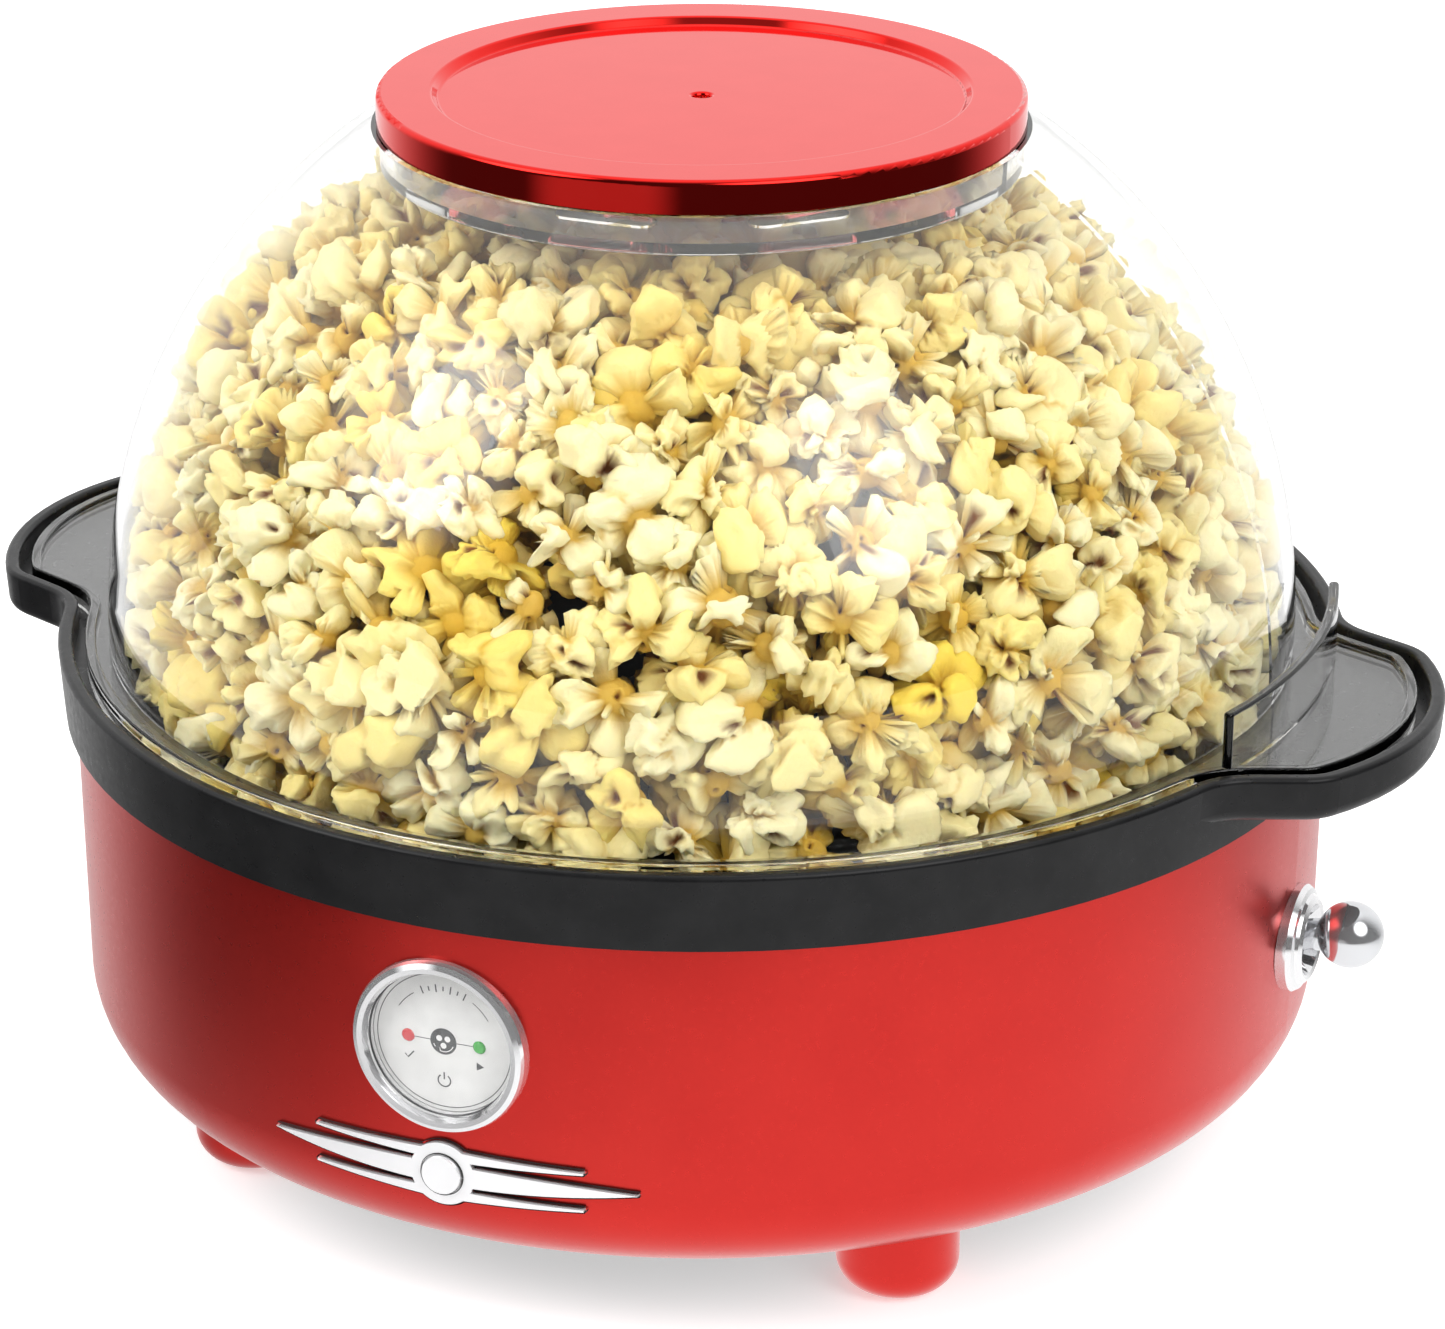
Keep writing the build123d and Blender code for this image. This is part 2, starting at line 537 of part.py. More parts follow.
def gear_points(teeth, turn):
    """Outline of a spur gear with 20 degree involute flanks; one tooth points along turn (degrees)."""
    pressure = radians(20)
    pitch_r = MODULE * teeth / 2
    base_r = pitch_r * cos(pressure)
    tip_r = pitch_r + 0.75 * MODULE
    root_r = pitch_r - MODULE
    involute = tan(pressure) - pressure
    half_pitch = pi / (2 * teeth) - 0.06 / pitch_r

    def half_angle(radius):
        slope = acos(min(1.0, base_r / radius)) if radius > base_r else 0.0
        return half_pitch + involute - (tan(slope) - slope)

    start = max(base_r, root_r)
    radii = [start + (tip_r - start) * step / 3 for step in range(4)]
    if root_r < base_r:
        radii.insert(0, root_r)
    points = []
    for tooth in range(teeth):
        centre = radians(turn) + 2 * pi * tooth / teeth
        flanks = [(r, centre - half_angle(r)) for r in radii]
        flanks += [(r, centre + half_angle(r)) for r in reversed(radii)]
        points += [(r * cos(angle), r * sin(angle)) for r, angle in flanks]
    return points


def gear(teeth, at, levels, turn, bore_r):
    """Spur gear standing on Z at a place, between two levels."""
    with BuildPart() as wheel:
        with BuildSketch(Plane.XY.offset(levels[0])):
            with BuildLine():
                Polyline(*gear_points(teeth, turn), close=True)
            make_face()
            Circle(bore_r, mode=Mode.SUBTRACT)
        extrude(amount=levels[1] - levels[0])
    return wheel.part.moved(Location((at[0], at[1], 0)))


with BuildPart() as output_gear:
    add(gear(WHEEL_TEETH, (0, 0), HIGH_GEARS, 0, SHAFT_R))
    add(tube(5.5, SHAFT_R, HIGH_GEARS[1], CASE_TOP - 0.5))
pieces["output_gear"] = output_gear

with BuildPart() as compound_gear:
    add(gear(WHEEL_TEETH, COMPOUND_AT, LOW_GEARS, 0, 1.2 + RUN_FIT))
    add(gear(PINION_TEETH, COMPOUND_AT, (LOW_GEARS[1], 57.0), 15, 1.2 + RUN_FIT))
pieces["compound_gear"] = compound_gear

with BuildPart() as gear_pin:
    with Locations((COMPOUND_AT[0], 0, CASE_BOTTOM)):
        Cylinder(1.2, BRACKET_Z - CASE_BOTTOM, align=STANDING)
pieces["gear_pin"] = gear_pin

with BuildPart() as rotor_pinion:
    add(gear(PINION_TEETH, ROTOR_AT, (45.9, 50.6), 15, 1.0))
pieces["rotor_pinion"] = rotor_pinion

with BuildPart() as rotor_shaft:
    with Locations((ROTOR_AT[0], ROTOR_AT[1], CAN_BOTTOM)):
        Cylinder(1.0, BRACKET_Z - CAN_BOTTOM - 0.5, align=STANDING)
pieces["rotor_shaft"] = rotor_shaft

with BuildPart() as rotor_magnet:
    with Locations((ROTOR_AT[0], ROTOR_AT[1], 0)):
        add(tube(11.6, 1.0, 30.5, 41.6))
        with PolarLocations(11.6, 12):
            Cylinder(0.6, 90, mode=Mode.SUBTRACT)
pieces["rotor_magnet"] = rotor_magnet

# ---- Drive shaft, bush and stirring rod ----------------------------------------------------------
SHAFT_TOP = 103.0
HUB_BOTTOM = 96.6
HUB_TOP = 111.0
ROD_LOW = 98.0
ROD_HIGH = 107.0

with BuildPart() as drive_shaft:
    add(turned((0, CASE_BOTTOM + 0.4), (1.5, CASE_BOTTOM + 0.4), (1.5, HIGH_GEARS[0] - 0.4),
               (SHAFT_R, HIGH_GEARS[0] - 0.4), (SHAFT_R, SHAFT_TOP), (0, SHAFT_TOP)))
    with Locations((SHAFT_R + 4.0 - 0.8, 0, HUB_BOTTOM + 1)):
        Box(8, 8, 20, align=STANDING, mode=Mode.SUBTRACT)
pieces["drive_shaft"] = drive_shaft

with BuildPart() as shaft_bush:
    add(turned((SHAFT_R + RUN_FIT, 88), (5.2, 88), (5.2, PAN_FLOOR), (8.5, PAN_FLOOR), (8.5, PAN_FLOOR + 1.2),
               (6.5, PAN_FLOOR + 2), (SHAFT_R + RUN_FIT, PAN_FLOOR + 2)))
pieces["shaft_bush"] = shaft_bush

with BuildPart() as bush_clip:
    with BuildSketch(Plane.XY.offset(PAN_UNDER - 1)):
        Circle(9)
        Circle(5.2, mode=Mode.SUBTRACT)
        with PolarLocations(9, 6):
            SlotOverall(5, 1.4, mode=Mode.SUBTRACT)
    extrude(amount=1)
pieces["bush_clip"] = bush_clip

ROD_CURVE_R = PAN_CURVE_R - (ROD_LOW - PAN_FLOOR)
LONG_ARM = degrees(asin((126.0 - PAN_FLAT_R) / ROD_CURVE_R))
SHORT_ARM = degrees(asin((112.0 - PAN_FLAT_R) / ROD_CURVE_R))
ROD_PLANE = Plane(origin=(0, 0, 0), x_dir=polar(1, 25), z_dir=polar(1, -65))

with BuildPart() as stirring_rod:
    with BuildLine(ROD_PLANE) as rod_path:
        CenterArc((-PAN_FLAT_R, ROD_LOW + ROD_CURVE_R), ROD_CURVE_R, 270 - SHORT_ARM, SHORT_ARM)
        FilletPolyline((-PAN_FLAT_R, ROD_LOW), (-32, ROD_LOW), (-15, ROD_HIGH), (15, ROD_HIGH), (32, ROD_LOW),
                       (PAN_FLAT_R, ROD_LOW), radius=8)
        CenterArc((PAN_FLAT_R, ROD_LOW + ROD_CURVE_R), ROD_CURVE_R, 270, LONG_ARM)
    rod_wire = rod_path.wires()[0]
    with BuildSketch(Plane(origin=rod_wire @ 0, z_dir=rod_wire % 0)):
        Circle(ROD_R)
    sweep(path=rod_wire)
pieces["stirring_rod"] = stirring_rod

with BuildPart() as stir_hub:
    add(turned((0, SHAFT_TOP), (SHAFT_R, SHAFT_TOP), (SHAFT_R, HUB_BOTTOM), (7.5, HUB_BOTTOM),
               (9, HUB_BOTTOM + 2), (9, HUB_TOP - 1.5), (7.5, HUB_TOP), (0, HUB_TOP)))
    with Locations(Location((0, 0, ROD_HIGH), (0, 0, 25)) * Location((0, 0, 0), (0, 90, 0))):
        Cylinder(ROD_R, 40, mode=Mode.SUBTRACT)
pieces["stir_hub"] = stir_hub

with BuildPart() as hub_nut:
    with BuildSketch(Plane.XY.offset(HUB_TOP)):
        RegularPolygon(6.0, 6)
    extrude(amount=4)
    with Locations((0, 0, HUB_TOP + 3.2)):
        Sphere(4.4, arc_size1=0)
pieces["hub_nut"] = hub_nut

# ---- Gauge on the front --------------------------------------------------------------------------
GAUGE_FACE_Y = 150.4        # distance of the dial's front from the axis
LAMP_X = 8.6
LAMP_R = 1.55

with BuildPart() as gauge_bezel:
    with Locations(FRONT):
        add(turned((17.2, 148.0), (18.4, 148.0), (18.4, 151.0), (GAUGE_R, 151.0), (GAUGE_R, 153.8),
                   (20.5, 154.8), (19.4, 155.4), (18.2, 155.2), (LENS_R, 153.8), (LENS_R, 152.2),
                   (17.2, 152.2)))
    add(body_solid(0) & FRONT.location * tube(60, 18.4, 0, 200), mode=Mode.SUBTRACT)
pieces["gauge_bezel"] = gauge_bezel

with BuildPart() as gauge_lens:
    with Locations(FRONT):
        add(turned((0, 152.2), (LENS_R - 0.05, 152.2), (LENS_R - 0.05, 152.9), (12, 153.6), (6, 153.95),
                   (0, 154.0)))
pieces["gauge_lens"] = gauge_lens

with BuildPart() as gauge_face:
    with Locations(FRONT):
        add(tube(17.1, 0, GAUGE_FACE_Y - 1.0, GAUGE_FACE_Y))
    with BuildSketch(FRONT.offset(GAUGE_FACE_Y - 1.0)):
        with Locations((-LAMP_X, 0), (LAMP_X, 0)):
            Circle(LAMP_R)
    extrude(amount=1.0, mode=Mode.SUBTRACT)
pieces["gauge_face"] = gauge_face

with BuildPart() as gauge_housing:
    with Locations(FRONT):
        add(turned((0, 128), (17.6, 128), (17.6, 148.0), (17.1, 148.0), (17.1, GAUGE_FACE_Y - 1.0),
                   (16.0, GAUGE_FACE_Y - 1.0), (16.0, 130), (0, 130)))
        add(tube(20.5, 17.6, 146.0, 148.0))
    add(FRONT.location * tube(30, 17.6, 146.0, 200) - body_solid(-WALL), mode=Mode.SUBTRACT)
    with BuildSketch(FRONT.offset(128)):
        with Locations((-LAMP_X, 0), (LAMP_X, 0)):
            Circle(LAMP_R)
    extrude(amount=2, mode=Mode.SUBTRACT)
pieces["gauge_housing"] = gauge_housing

for lamp_name, lamp_side in (("lamp_red", -1), ("lamp_green", 1)):
    with BuildPart() as lamp:
        with Locations(FRONT.location * Location((lamp_side * LAMP_X, 0, 0))):
            add(turned((0, 122), (LAMP_R, 122), (LAMP_R, 150.4), (1.2, 150.8), (0.6, 150.95), (0, 151.0)))
    pieces[lamp_name] = lamp

# ---- Chrome trim on the front: a tapered spear with two shorter bars -----------------------------
TRIM_HALF = 45.0
TRIM_BAR = 33.0
TRIM_DISC_R = 7.8
TRIM_THICK = 1.4

with BuildPart() as front_trim:
    with BuildSketch(TRIM_PLANE.offset(120)):
        with BuildLine():
            ThreePointArc((-TRIM_HALF, 0), (0, 2.5), (TRIM_HALF, 0))
            ThreePointArc((TRIM_HALF, 0), (0, -2.5), (-TRIM_HALF, 0))
        make_face()
        for bar_x in (-TRIM_BAR, TRIM_BAR):
            for up in (-1, 1):
                with BuildLine():
                    Polyline((0, up * 3.6), (bar_x, up * 4.4), (bar_x, up * 4.9), (0, up * 6.2), close=True)
                make_face()
        Circle(TRIM_DISC_R)
    extrude(amount=50)
    add(body_solid(TRIM_THICK), mode=Mode.INTERSECT)
    with BuildSketch(TRIM_PLANE.offset(150)):
        Circle(TRIM_DISC_R - 1.6)
    extrude(amount=4.4, taper=20)
    add(body_solid(0), mode=Mode.SUBTRACT)
pieces["front_trim"] = front_trim

# ---- Switch on the right ---------------------------------------------------------------------------
PIVOT_X = 149.0
BALL_REACH = 17.7          # from the pivot to the centre of the ball
BALL_R = 8.0
NECK_THICK = 3.9
PIVOT = Location((PIVOT_X, 0, SWITCH_Z), (90, 0, 0))

with BuildPart() as switch_bezel:
    with Locations(RIGHT):
        add(turned((6.6, 140.5), (8.0, 140.5), (8.0, 151.4), (SWITCH_R, 151.4), (SWITCH_R, 154.2),
                   (12.2, 155.4), (11.0, 155.8), (10.6, 156.6), (9.6, 157.4), (8.6, 157.0), (7.6, 154.0),
                   (6.6, 150.0)))
    add(RIGHT.location * tube(60, 8.0, 100, 200) & body_solid(0), mode=Mode.SUBTRACT)
    with Locations(PIVOT):
        Cylinder(1.0, 40, mode=Mode.SUBTRACT)
pieces["switch_bezel"] = switch_bezel

with BuildPart() as switch_pin:
    with Locations(PIVOT):
        Cylinder(1.0, 15.6)
pieces["switch_pin"] = switch_pin

LEVER_TAIL = 4.4
LEVER_AXIS = Location((PIVOT_X, 0, SWITCH_Z), (0, 90 - LEVER_TILT, 0))

with BuildPart() as switch_lever:
    with Locations(LEVER_AXIS):
        add(turned((0, -LEVER_TAIL), (1.8, -LEVER_TAIL), (3.2, 0), (NECK_THICK, 9), (NECK_THICK, BALL_REACH),
                   (0, BALL_REACH)))
        with Locations((0, 0, BALL_REACH)):
            Sphere(BALL_R)
    with Locations(PIVOT):
        Cylinder(1.0 + RUN_FIT, 40, mode=Mode.SUBTRACT)
pieces["switch_lever"] = switch_lever

with BuildPart() as switch_nut:
    with BuildSketch(RIGHT.offset(145.0)):
        RegularPolygon(11.0, 6)
        Circle(8.0, mode=Mode.SUBTRACT)
    extrude(amount=2.6)
pieces["switch_nut"] = switch_nut

with BuildPart() as switch_body:
    with BuildSketch(RIGHT.offset(118)):
        RectangleRounded(17, 24, 1.5)
    extrude(amount=22.5)
    with BuildSketch(RIGHT.offset(118)):
        with Locations((0, -8), (0, 0), (0, 8)):
            Rectangle(6.3, 0.8)
    extrude(amount=-8)
    with BuildSketch(RIGHT.offset(140.5)):
        Circle(6.0)
    extrude(amount=-6, mode=Mode.SUBTRACT)
pieces["switch_body"] = switch_body

# ---- Dome and cap -------------------------------------------------------------------------------------
INNER_R = DOME_R - DOME_T
SLOT_RINGS = ((56.0, 8, 24.0, 7.0), (33.0, 6, 17.0, 6.0))   # circle, count, length and width of slots


def sphere_point(radius, z):
    """Point of the dome's outer or inner sphere at a height."""
    return (sqrt(radius ** 2 - (z - DOME_Z) ** 2), z)


fence_arc = CenterArc((0, 0), FENCE_R, -FENCE_HALF_ANGLE, 2 * FENCE_HALF_ANGLE)
land_edge = sphere_point(DOME_R, LAND_Z)
well_root = (WELL_OUTER_R, DOME_Z + sqrt(INNER_R ** 2 - WELL_OUTER_R ** 2))

with BuildPart() as dome:
    with BuildSketch(Plane.XZ):
        with BuildLine():
            ThreePointArc(sphere_point(DOME_R, RIM_PLATE[0]), sphere_point(DOME_R, 190), land_edge)
            Polyline(land_edge, (PLUG_R, LAND_Z), (PLUG_R, PLUG_TOP), (WELL_R, PLUG_TOP),
                     (WELL_R, WELL_FLOOR[1]), (0, WELL_FLOOR[1]), (0, WELL_FLOOR[0]),
                     (WELL_OUTER_R, WELL_FLOOR[0]), well_root)
            ThreePointArc(well_root, sphere_point(INNER_R, 190), sphere_point(INNER_R, RIM_PLATE[0]))
            Line(sphere_point(INNER_R, RIM_PLATE[0]), sphere_point(DOME_R, RIM_PLATE[0]))
        make_face()
    revolve(axis=Axis.Z)
    circles = dome.edges().filter_by(GeomType.CIRCLE)
    fillet([e for e in circles if abs(e.radius - WELL_OUTER_R) < 0.01 and e.center().Z < LAND_Z - 5], 1.0)
    # vents in the floor of the well
    for circle, count, length, wide in SLOT_RINGS:
        with BuildSketch(Plane.XY.offset(WELL_FLOOR[0])):
            with PolarLocations(circle, count, start_angle=90):
                SlotOverall(length, wide, rotation=90)
        extrude(amount=WELL_FLOOR[1] - WELL_FLOOR[0], mode=Mode.SUBTRACT)
    # flat rim with its wings, and the bead around it
    with BuildSketch(Plane.XY.offset(RIM_PLATE[0])):
        add(inset_outline(RIM_GAP))
        Circle(INNER_R, mode=Mode.SUBTRACT)
    extrude(amount=RIM_PLATE[1] - RIM_PLATE[0])
    with BuildSketch(Plane.XY.offset(RIM_LOW)):
        add(inset_outline(RIM_GAP))
        add(inset_outline(RIM_GAP + 2.6), mode=Mode.SUBTRACT)
    extrude(amount=RIM_BEAD_TOP - RIM_LOW)
    bead_top = dome.faces().filter_by(Plane.XY).filter_by(lambda f: abs(f.center().Z - RIM_BEAD_TOP) < 0.01)
    fillet(bead_top.edges(), 0.6)
    # upright rib on the right wing
    with BuildSketch(Plane.XY.offset(RIM_PLATE[0] + 1)):
        SlotArc(fence_arc, FENCE_T)
    extrude(amount=FENCE_TOP - RIM_PLATE[0] - 1)
    fence_top = dome.faces().filter_by(Plane.XY).filter_by(lambda f: abs(f.center().Z - FENCE_TOP) < 0.01)
    fillet(fence_top.edges(), 0.8)
pieces["dome"] = dome

CAP_T = 2.2
CAP_SKIRT_R = PLUG_R + 0.4
CAP_ROOF = CAP_TOP - 2.4
CAP_SLOPE = 1.6           # width of the recess's sloping edge
CAP_HOLE_R = 2.2
CAP_FLOOR = CAP_TOP - CAP_RECESS
RECESS_FOOT_R = CAP_RECESS_R - CAP_SLOPE

with BuildPart() as dome_cap:
    add(turned((CAP_R, CAP_BOTTOM), (CAP_R, CAP_TOP), (CAP_RECESS_R, CAP_TOP), (RECESS_FOOT_R, CAP_FLOOR),
               (CAP_HOLE_R, CAP_FLOOR), (CAP_HOLE_R, CAP_FLOOR - CAP_T), (RECESS_FOOT_R, CAP_FLOOR - CAP_T),
               (CAP_RECESS_R + 0.4, CAP_ROOF), (CAP_SKIRT_R, CAP_ROOF), (CAP_SKIRT_R, CAP_BOTTOM)))
    for edge_r, edge_z, rounding in ((CAP_R, CAP_TOP, 1.4), (CAP_RECESS_R, CAP_TOP, 1.0),
                                     (RECESS_FOOT_R, CAP_FLOOR, 0.9), (CAP_HOLE_R, CAP_FLOOR, 0.9)):
        circles = dome_cap.edges().filter_by(GeomType.CIRCLE)
        level = [e for e in circles if abs(e.center().Z - edge_z) < 0.01]
        fillet([e for e in level if abs(e.radius - edge_r) < 0.01], rounding)
pieces["dome_cap"] = dome_cap

# ---- Mains entry at the rear ------------------------------------------------------------------------------
with BuildPart() as cord_grommet:
    with Locations(REAR):
        add(turned((GLAND_BORE_R, 140), (6.0, 140), (7.6, 145), (7.0, 149.2), (7.0, 152.7), (9.5, 152.7),
                   (9.5, 154.6), (8.3, 155.8), (GLAND_BORE_R, 155.8)))
    add(REAR.location * tube(30, 7.0, 149.0, 200) & (body_solid(0) - body_solid(-WALL)), mode=Mode.SUBTRACT)
pieces["cord_grommet"] = cord_grommet

BLOCK_AT = (0, 96)
BLOCK_BOTTOM = BODY_BOTTOM + COVER_T
BLOCK_H = 12.0
BLOCK_WAYS = [(BLOCK_AT[0] + x, BLOCK_AT[1]) for x in (-11, 0, 11)]

with BuildPart() as terminal_block:
    with BuildSketch(Plane.XY.offset(BLOCK_BOTTOM)):
        with Locations(BLOCK_AT):
            RectangleRounded(34, 16, 2)
    extrude(amount=BLOCK_H)
    with Locations(*[(x, y, BLOCK_BOTTOM + BLOCK_H) for x, y in BLOCK_WAYS]):
        Cylinder(2.6, 6, align=HANGING, mode=Mode.SUBTRACT)
    with Locations(*[Location((x, y, BLOCK_BOTTOM + 4), (90, 0, 0)) for x, y in BLOCK_WAYS]):
        Cylinder(1.8, 30, mode=Mode.SUBTRACT)
pieces["terminal_block"] = terminal_block

with BuildPart() as terminal_screws:
    with Locations(*[Location((x, y, BLOCK_BOTTOM + 8.5), (180, 0, 0)) for x, y in BLOCK_WAYS]):
        add(screw(2.5, head_r=2.4, head_h=2.0, shank_r=1.5))
pieces["terminal_screws"] = terminal_screws

# ---- One STEP file for each piece --------------------------------------------------------------------------
os.makedirs("parts", exist_ok=True)
for piece_name, piece in pieces.items():
    piece.part.label = piece_name
    export_step(piece.part, f"parts/{piece_name}.step")
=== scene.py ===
import json
import math

import bpy
import numpy as np
from mathutils import Matrix, Vector

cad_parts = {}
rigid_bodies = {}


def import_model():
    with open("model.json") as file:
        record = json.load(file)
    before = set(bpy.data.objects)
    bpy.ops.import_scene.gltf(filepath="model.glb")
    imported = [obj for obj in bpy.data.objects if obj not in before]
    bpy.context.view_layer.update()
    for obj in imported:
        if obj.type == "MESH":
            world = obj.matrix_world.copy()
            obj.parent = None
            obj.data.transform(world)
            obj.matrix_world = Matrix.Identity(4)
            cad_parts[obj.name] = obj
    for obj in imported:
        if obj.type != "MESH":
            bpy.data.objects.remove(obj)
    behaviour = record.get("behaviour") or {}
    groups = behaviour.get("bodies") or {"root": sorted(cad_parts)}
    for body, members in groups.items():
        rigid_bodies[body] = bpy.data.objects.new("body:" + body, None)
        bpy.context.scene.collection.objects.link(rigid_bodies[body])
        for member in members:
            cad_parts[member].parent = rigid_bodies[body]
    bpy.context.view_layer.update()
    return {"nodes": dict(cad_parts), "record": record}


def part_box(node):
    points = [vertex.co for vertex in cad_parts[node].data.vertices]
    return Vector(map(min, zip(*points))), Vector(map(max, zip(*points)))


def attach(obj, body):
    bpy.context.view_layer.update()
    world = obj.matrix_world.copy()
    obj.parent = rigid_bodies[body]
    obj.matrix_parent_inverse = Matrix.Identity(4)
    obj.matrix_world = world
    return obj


for leftover in list(bpy.data.objects):
    bpy.data.objects.remove(leftover)
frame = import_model()
nodes = frame["nodes"]
MM = 0.001


# ---- Driving values: the round of the dome, as in the CAD -----------------------------------
DOME_OUTER = 144.2 * MM
DOME_WALL = 2.4 * MM
DOME_CENTRE = np.array([0, 0, 127.6 * MM])
HEAP_TOP = 236 * MM             # under the floor of the well, at 238.8
GOLDEN_TURN = math.pi * (3 - math.sqrt(5))
HEXAGONAL = 0.866               # share of a square's area that a close-packed place takes


# ---- Node helpers for materials --------------------------------------------------------------
RANGE_SOCKETS = ("From Min", "From Max", "To Min", "To Max")


class Shader:
    """A Principled material with short calls for the nodes around it."""

    def __init__(self, name, colour, **sockets):
        self.material = bpy.data.materials.new(name)
        self.material.use_nodes = True
        self.tree = self.material.node_tree
        self.bsdf = self.tree.nodes["Principled BSDF"]
        self.bsdf.inputs["Base Color"].default_value = (*colour, 1)
        for socket, value in sockets.items():
            self.bsdf.inputs[socket.replace("_", " ")].default_value = value

    def node(self, kind, **settings):
        node = self.tree.nodes.new(kind)
        for name, value in settings.items():
            setattr(node, name, value)
        return node

    def link(self, source, target):
        self.tree.links.new(source, target)

    def noise(self, scale, detail=4.0, rough=0.55):
        """Noise in object space; scale is in waves per metre."""
        place = self.node("ShaderNodeTexCoord")
        noise = self.node("ShaderNodeTexNoise")
        noise.inputs["Scale"].default_value = scale
        noise.inputs["Detail"].default_value = detail
        noise.inputs["Roughness"].default_value = rough
        self.link(place.outputs["Object"], noise.inputs["Vector"])
        return noise.outputs["Fac"]

    def spread(self, source, low, high, from_low=0.3, from_high=0.7):
        """Maps a noise to a range."""
        ramp = self.node("ShaderNodeMapRange")
        for socket, value in zip(RANGE_SOCKETS, (from_low, from_high, low, high)):
            ramp.inputs[socket].default_value = value
        self.link(source, ramp.inputs["Value"])
        return ramp.outputs["Result"]

    def roughness(self, source, low, high):
        self.link(self.spread(source, low, high), self.bsdf.inputs["Roughness"])
        return self

    def bump(self, source, strength, distance=0.1 * MM):
        bump = self.node("ShaderNodeBump")
        bump.inputs["Strength"].default_value = strength
        bump.inputs["Distance"].default_value = distance
        self.link(source, bump.inputs["Height"])
        self.link(bump.outputs["Normal"], self.bsdf.inputs["Normal"])
        return self

    def two_tone(self, source, dark, light, low=0.35, high=0.65):
        """Base colour between two tones by a noise."""
        mix = self.node("ShaderNodeMix", data_type="RGBA")
        mix.inputs["A"].default_value = (*dark, 1)
        mix.inputs["B"].default_value = (*light, 1)
        self.link(self.spread(source, 0, 1, low, high), mix.inputs["Factor"])
        self.link(mix.outputs["Result"], self.bsdf.inputs["Base Color"])
        return self

    def pass_lamps(self, tint):
        """Lets lamp rays straight through, so that clear walls don't darken what is inside."""
        path = self.node("ShaderNodeLightPath")
        clear = self.node("ShaderNodeBsdfTransparent")
        clear.inputs["Color"].default_value = (*tint, 1)
        mix = self.node("ShaderNodeMixShader")
        out = self.tree.nodes["Material Output"]
        self.link(path.outputs["Is Shadow Ray"], mix.inputs["Fac"])
        self.link(self.bsdf.outputs["BSDF"], mix.inputs[1])
        self.link(clear.outputs["BSDF"], mix.inputs[2])
        self.link(mix.outputs["Shader"], out.inputs["Surface"])
        return self


# ---- Materials, one for each of the record's slots ------------------------------------------------
def metallic_red():
    shader = Shader("metallic_red", (0.66, 0.022, 0.016), Metallic=0.92, Coat_Weight=0.42,
                    Coat_Roughness=0.28)
    shader.two_tone(shader.noise(38, 2.0), (0.655, 0.016, 0.011), (0.70, 0.021, 0.014), 0.25, 0.75)
    shader.roughness(shader.noise(700, 3.0), 0.27, 0.34)
    return shader.bump(shader.noise(7000, 2.0), 0.10, 0.02 * MM)


def mirror_red():
    shader = Shader("mirror_red", (0.86, 0.022, 0.018), Metallic=1.0, Coat_Weight=0.06, Coat_Roughness=0.03)
    shader.two_tone(shader.noise(70, 3.0), (0.84, 0.018, 0.014), (0.88, 0.026, 0.021), 0.2, 0.8)
    shader.roughness(shader.noise(120, 3.0), 0.05, 0.085)
    return shader.bump(shader.noise(260, 2.0), 0.03, 0.05 * MM)


def satin_black():
    shader = Shader("satin_black", (0.009, 0.009, 0.0095), Specular_IOR_Level=0.26)
    grain = shader.noise(5200, 3.0)
    shader.two_tone(shader.noise(90, 4.0), (0.006, 0.006, 0.0065), (0.010, 0.010, 0.0105))
    shader.roughness(shader.noise(500, 4.0), 0.26, 0.36)
    return shader.bump(grain, 0.16, 0.03 * MM)


def matt_black():
    shader = Shader("matt_black", (0.02, 0.02, 0.02))
    shader.two_tone(shader.noise(150, 4.0), (0.016, 0.016, 0.016), (0.026, 0.026, 0.026))
    shader.roughness(shader.noise(800, 4.0), 0.5, 0.65)
    return shader.bump(shader.noise(3500, 3.0), 0.3, 0.05 * MM)


def clear_moulding(name, tint, edge, shadow_tint, rough):
    """Clear plastic that greys a little where its wall is seen edge on: painted shade that stands in for the
    grey lines at its edges.
    """
    shader = Shader(name, tint, Transmission_Weight=1.0, IOR=1.46)
    shader.roughness(shader.noise(40, 3.0), rough * 0.5, rough * 1.5)
    # Painted edge shade: the base colour turns to the edge grey where the wall is seen edge on.
    facing = shader.node("ShaderNodeLayerWeight")
    facing.inputs["Blend"].default_value = 0.22
    mix = shader.node("ShaderNodeMix", data_type="RGBA")
    mix.inputs["A"].default_value = (*tint, 1)
    mix.inputs["B"].default_value = (*edge, 1)
    shader.link(facing.outputs["Facing"], mix.inputs["Factor"])
    shader.link(mix.outputs["Result"], shader.bsdf.inputs["Base Color"])
    return shader.pass_lamps(shadow_tint)


def chrome(name="chrome", colour=(0.86, 0.86, 0.87)):
    shader = Shader(name, colour, Metallic=0.84)
    shader.roughness(shader.noise(300, 3.0), 0.03, 0.07)
    return shader.bump(shader.noise(700, 2.0), 0.02, 0.02 * MM)


def satin_silver():
    """Plated plastic of the front trim, softer than the turned chrome."""
    shader = Shader("satin_silver", (0.8, 0.8, 0.81), Metallic=0.45, Coat_Weight=0.6, Coat_Roughness=0.08)
    shader.two_tone(shader.noise(90, 2.0), (0.80, 0.80, 0.81), (0.84, 0.84, 0.85), 0.2, 0.8)
    shader.roughness(shader.noise(300, 2.0), 0.16, 0.2)
    return shader.bump(shader.noise(400, 1.0), 0.02, 0.02 * MM)


def plain(name, colour, low, high, metallic=0.0, grain=1800, strength=0.15):
    shader = Shader(name, colour, Metallic=metallic)
    shader.two_tone(shader.noise(120, 4.0), tuple(0.88 * c for c in colour), colour)
    shader.roughness(shader.noise(grain * 0.4, 4.0), low, high)
    return shader.bump(shader.noise(grain, 3.0), strength, 0.03 * MM)


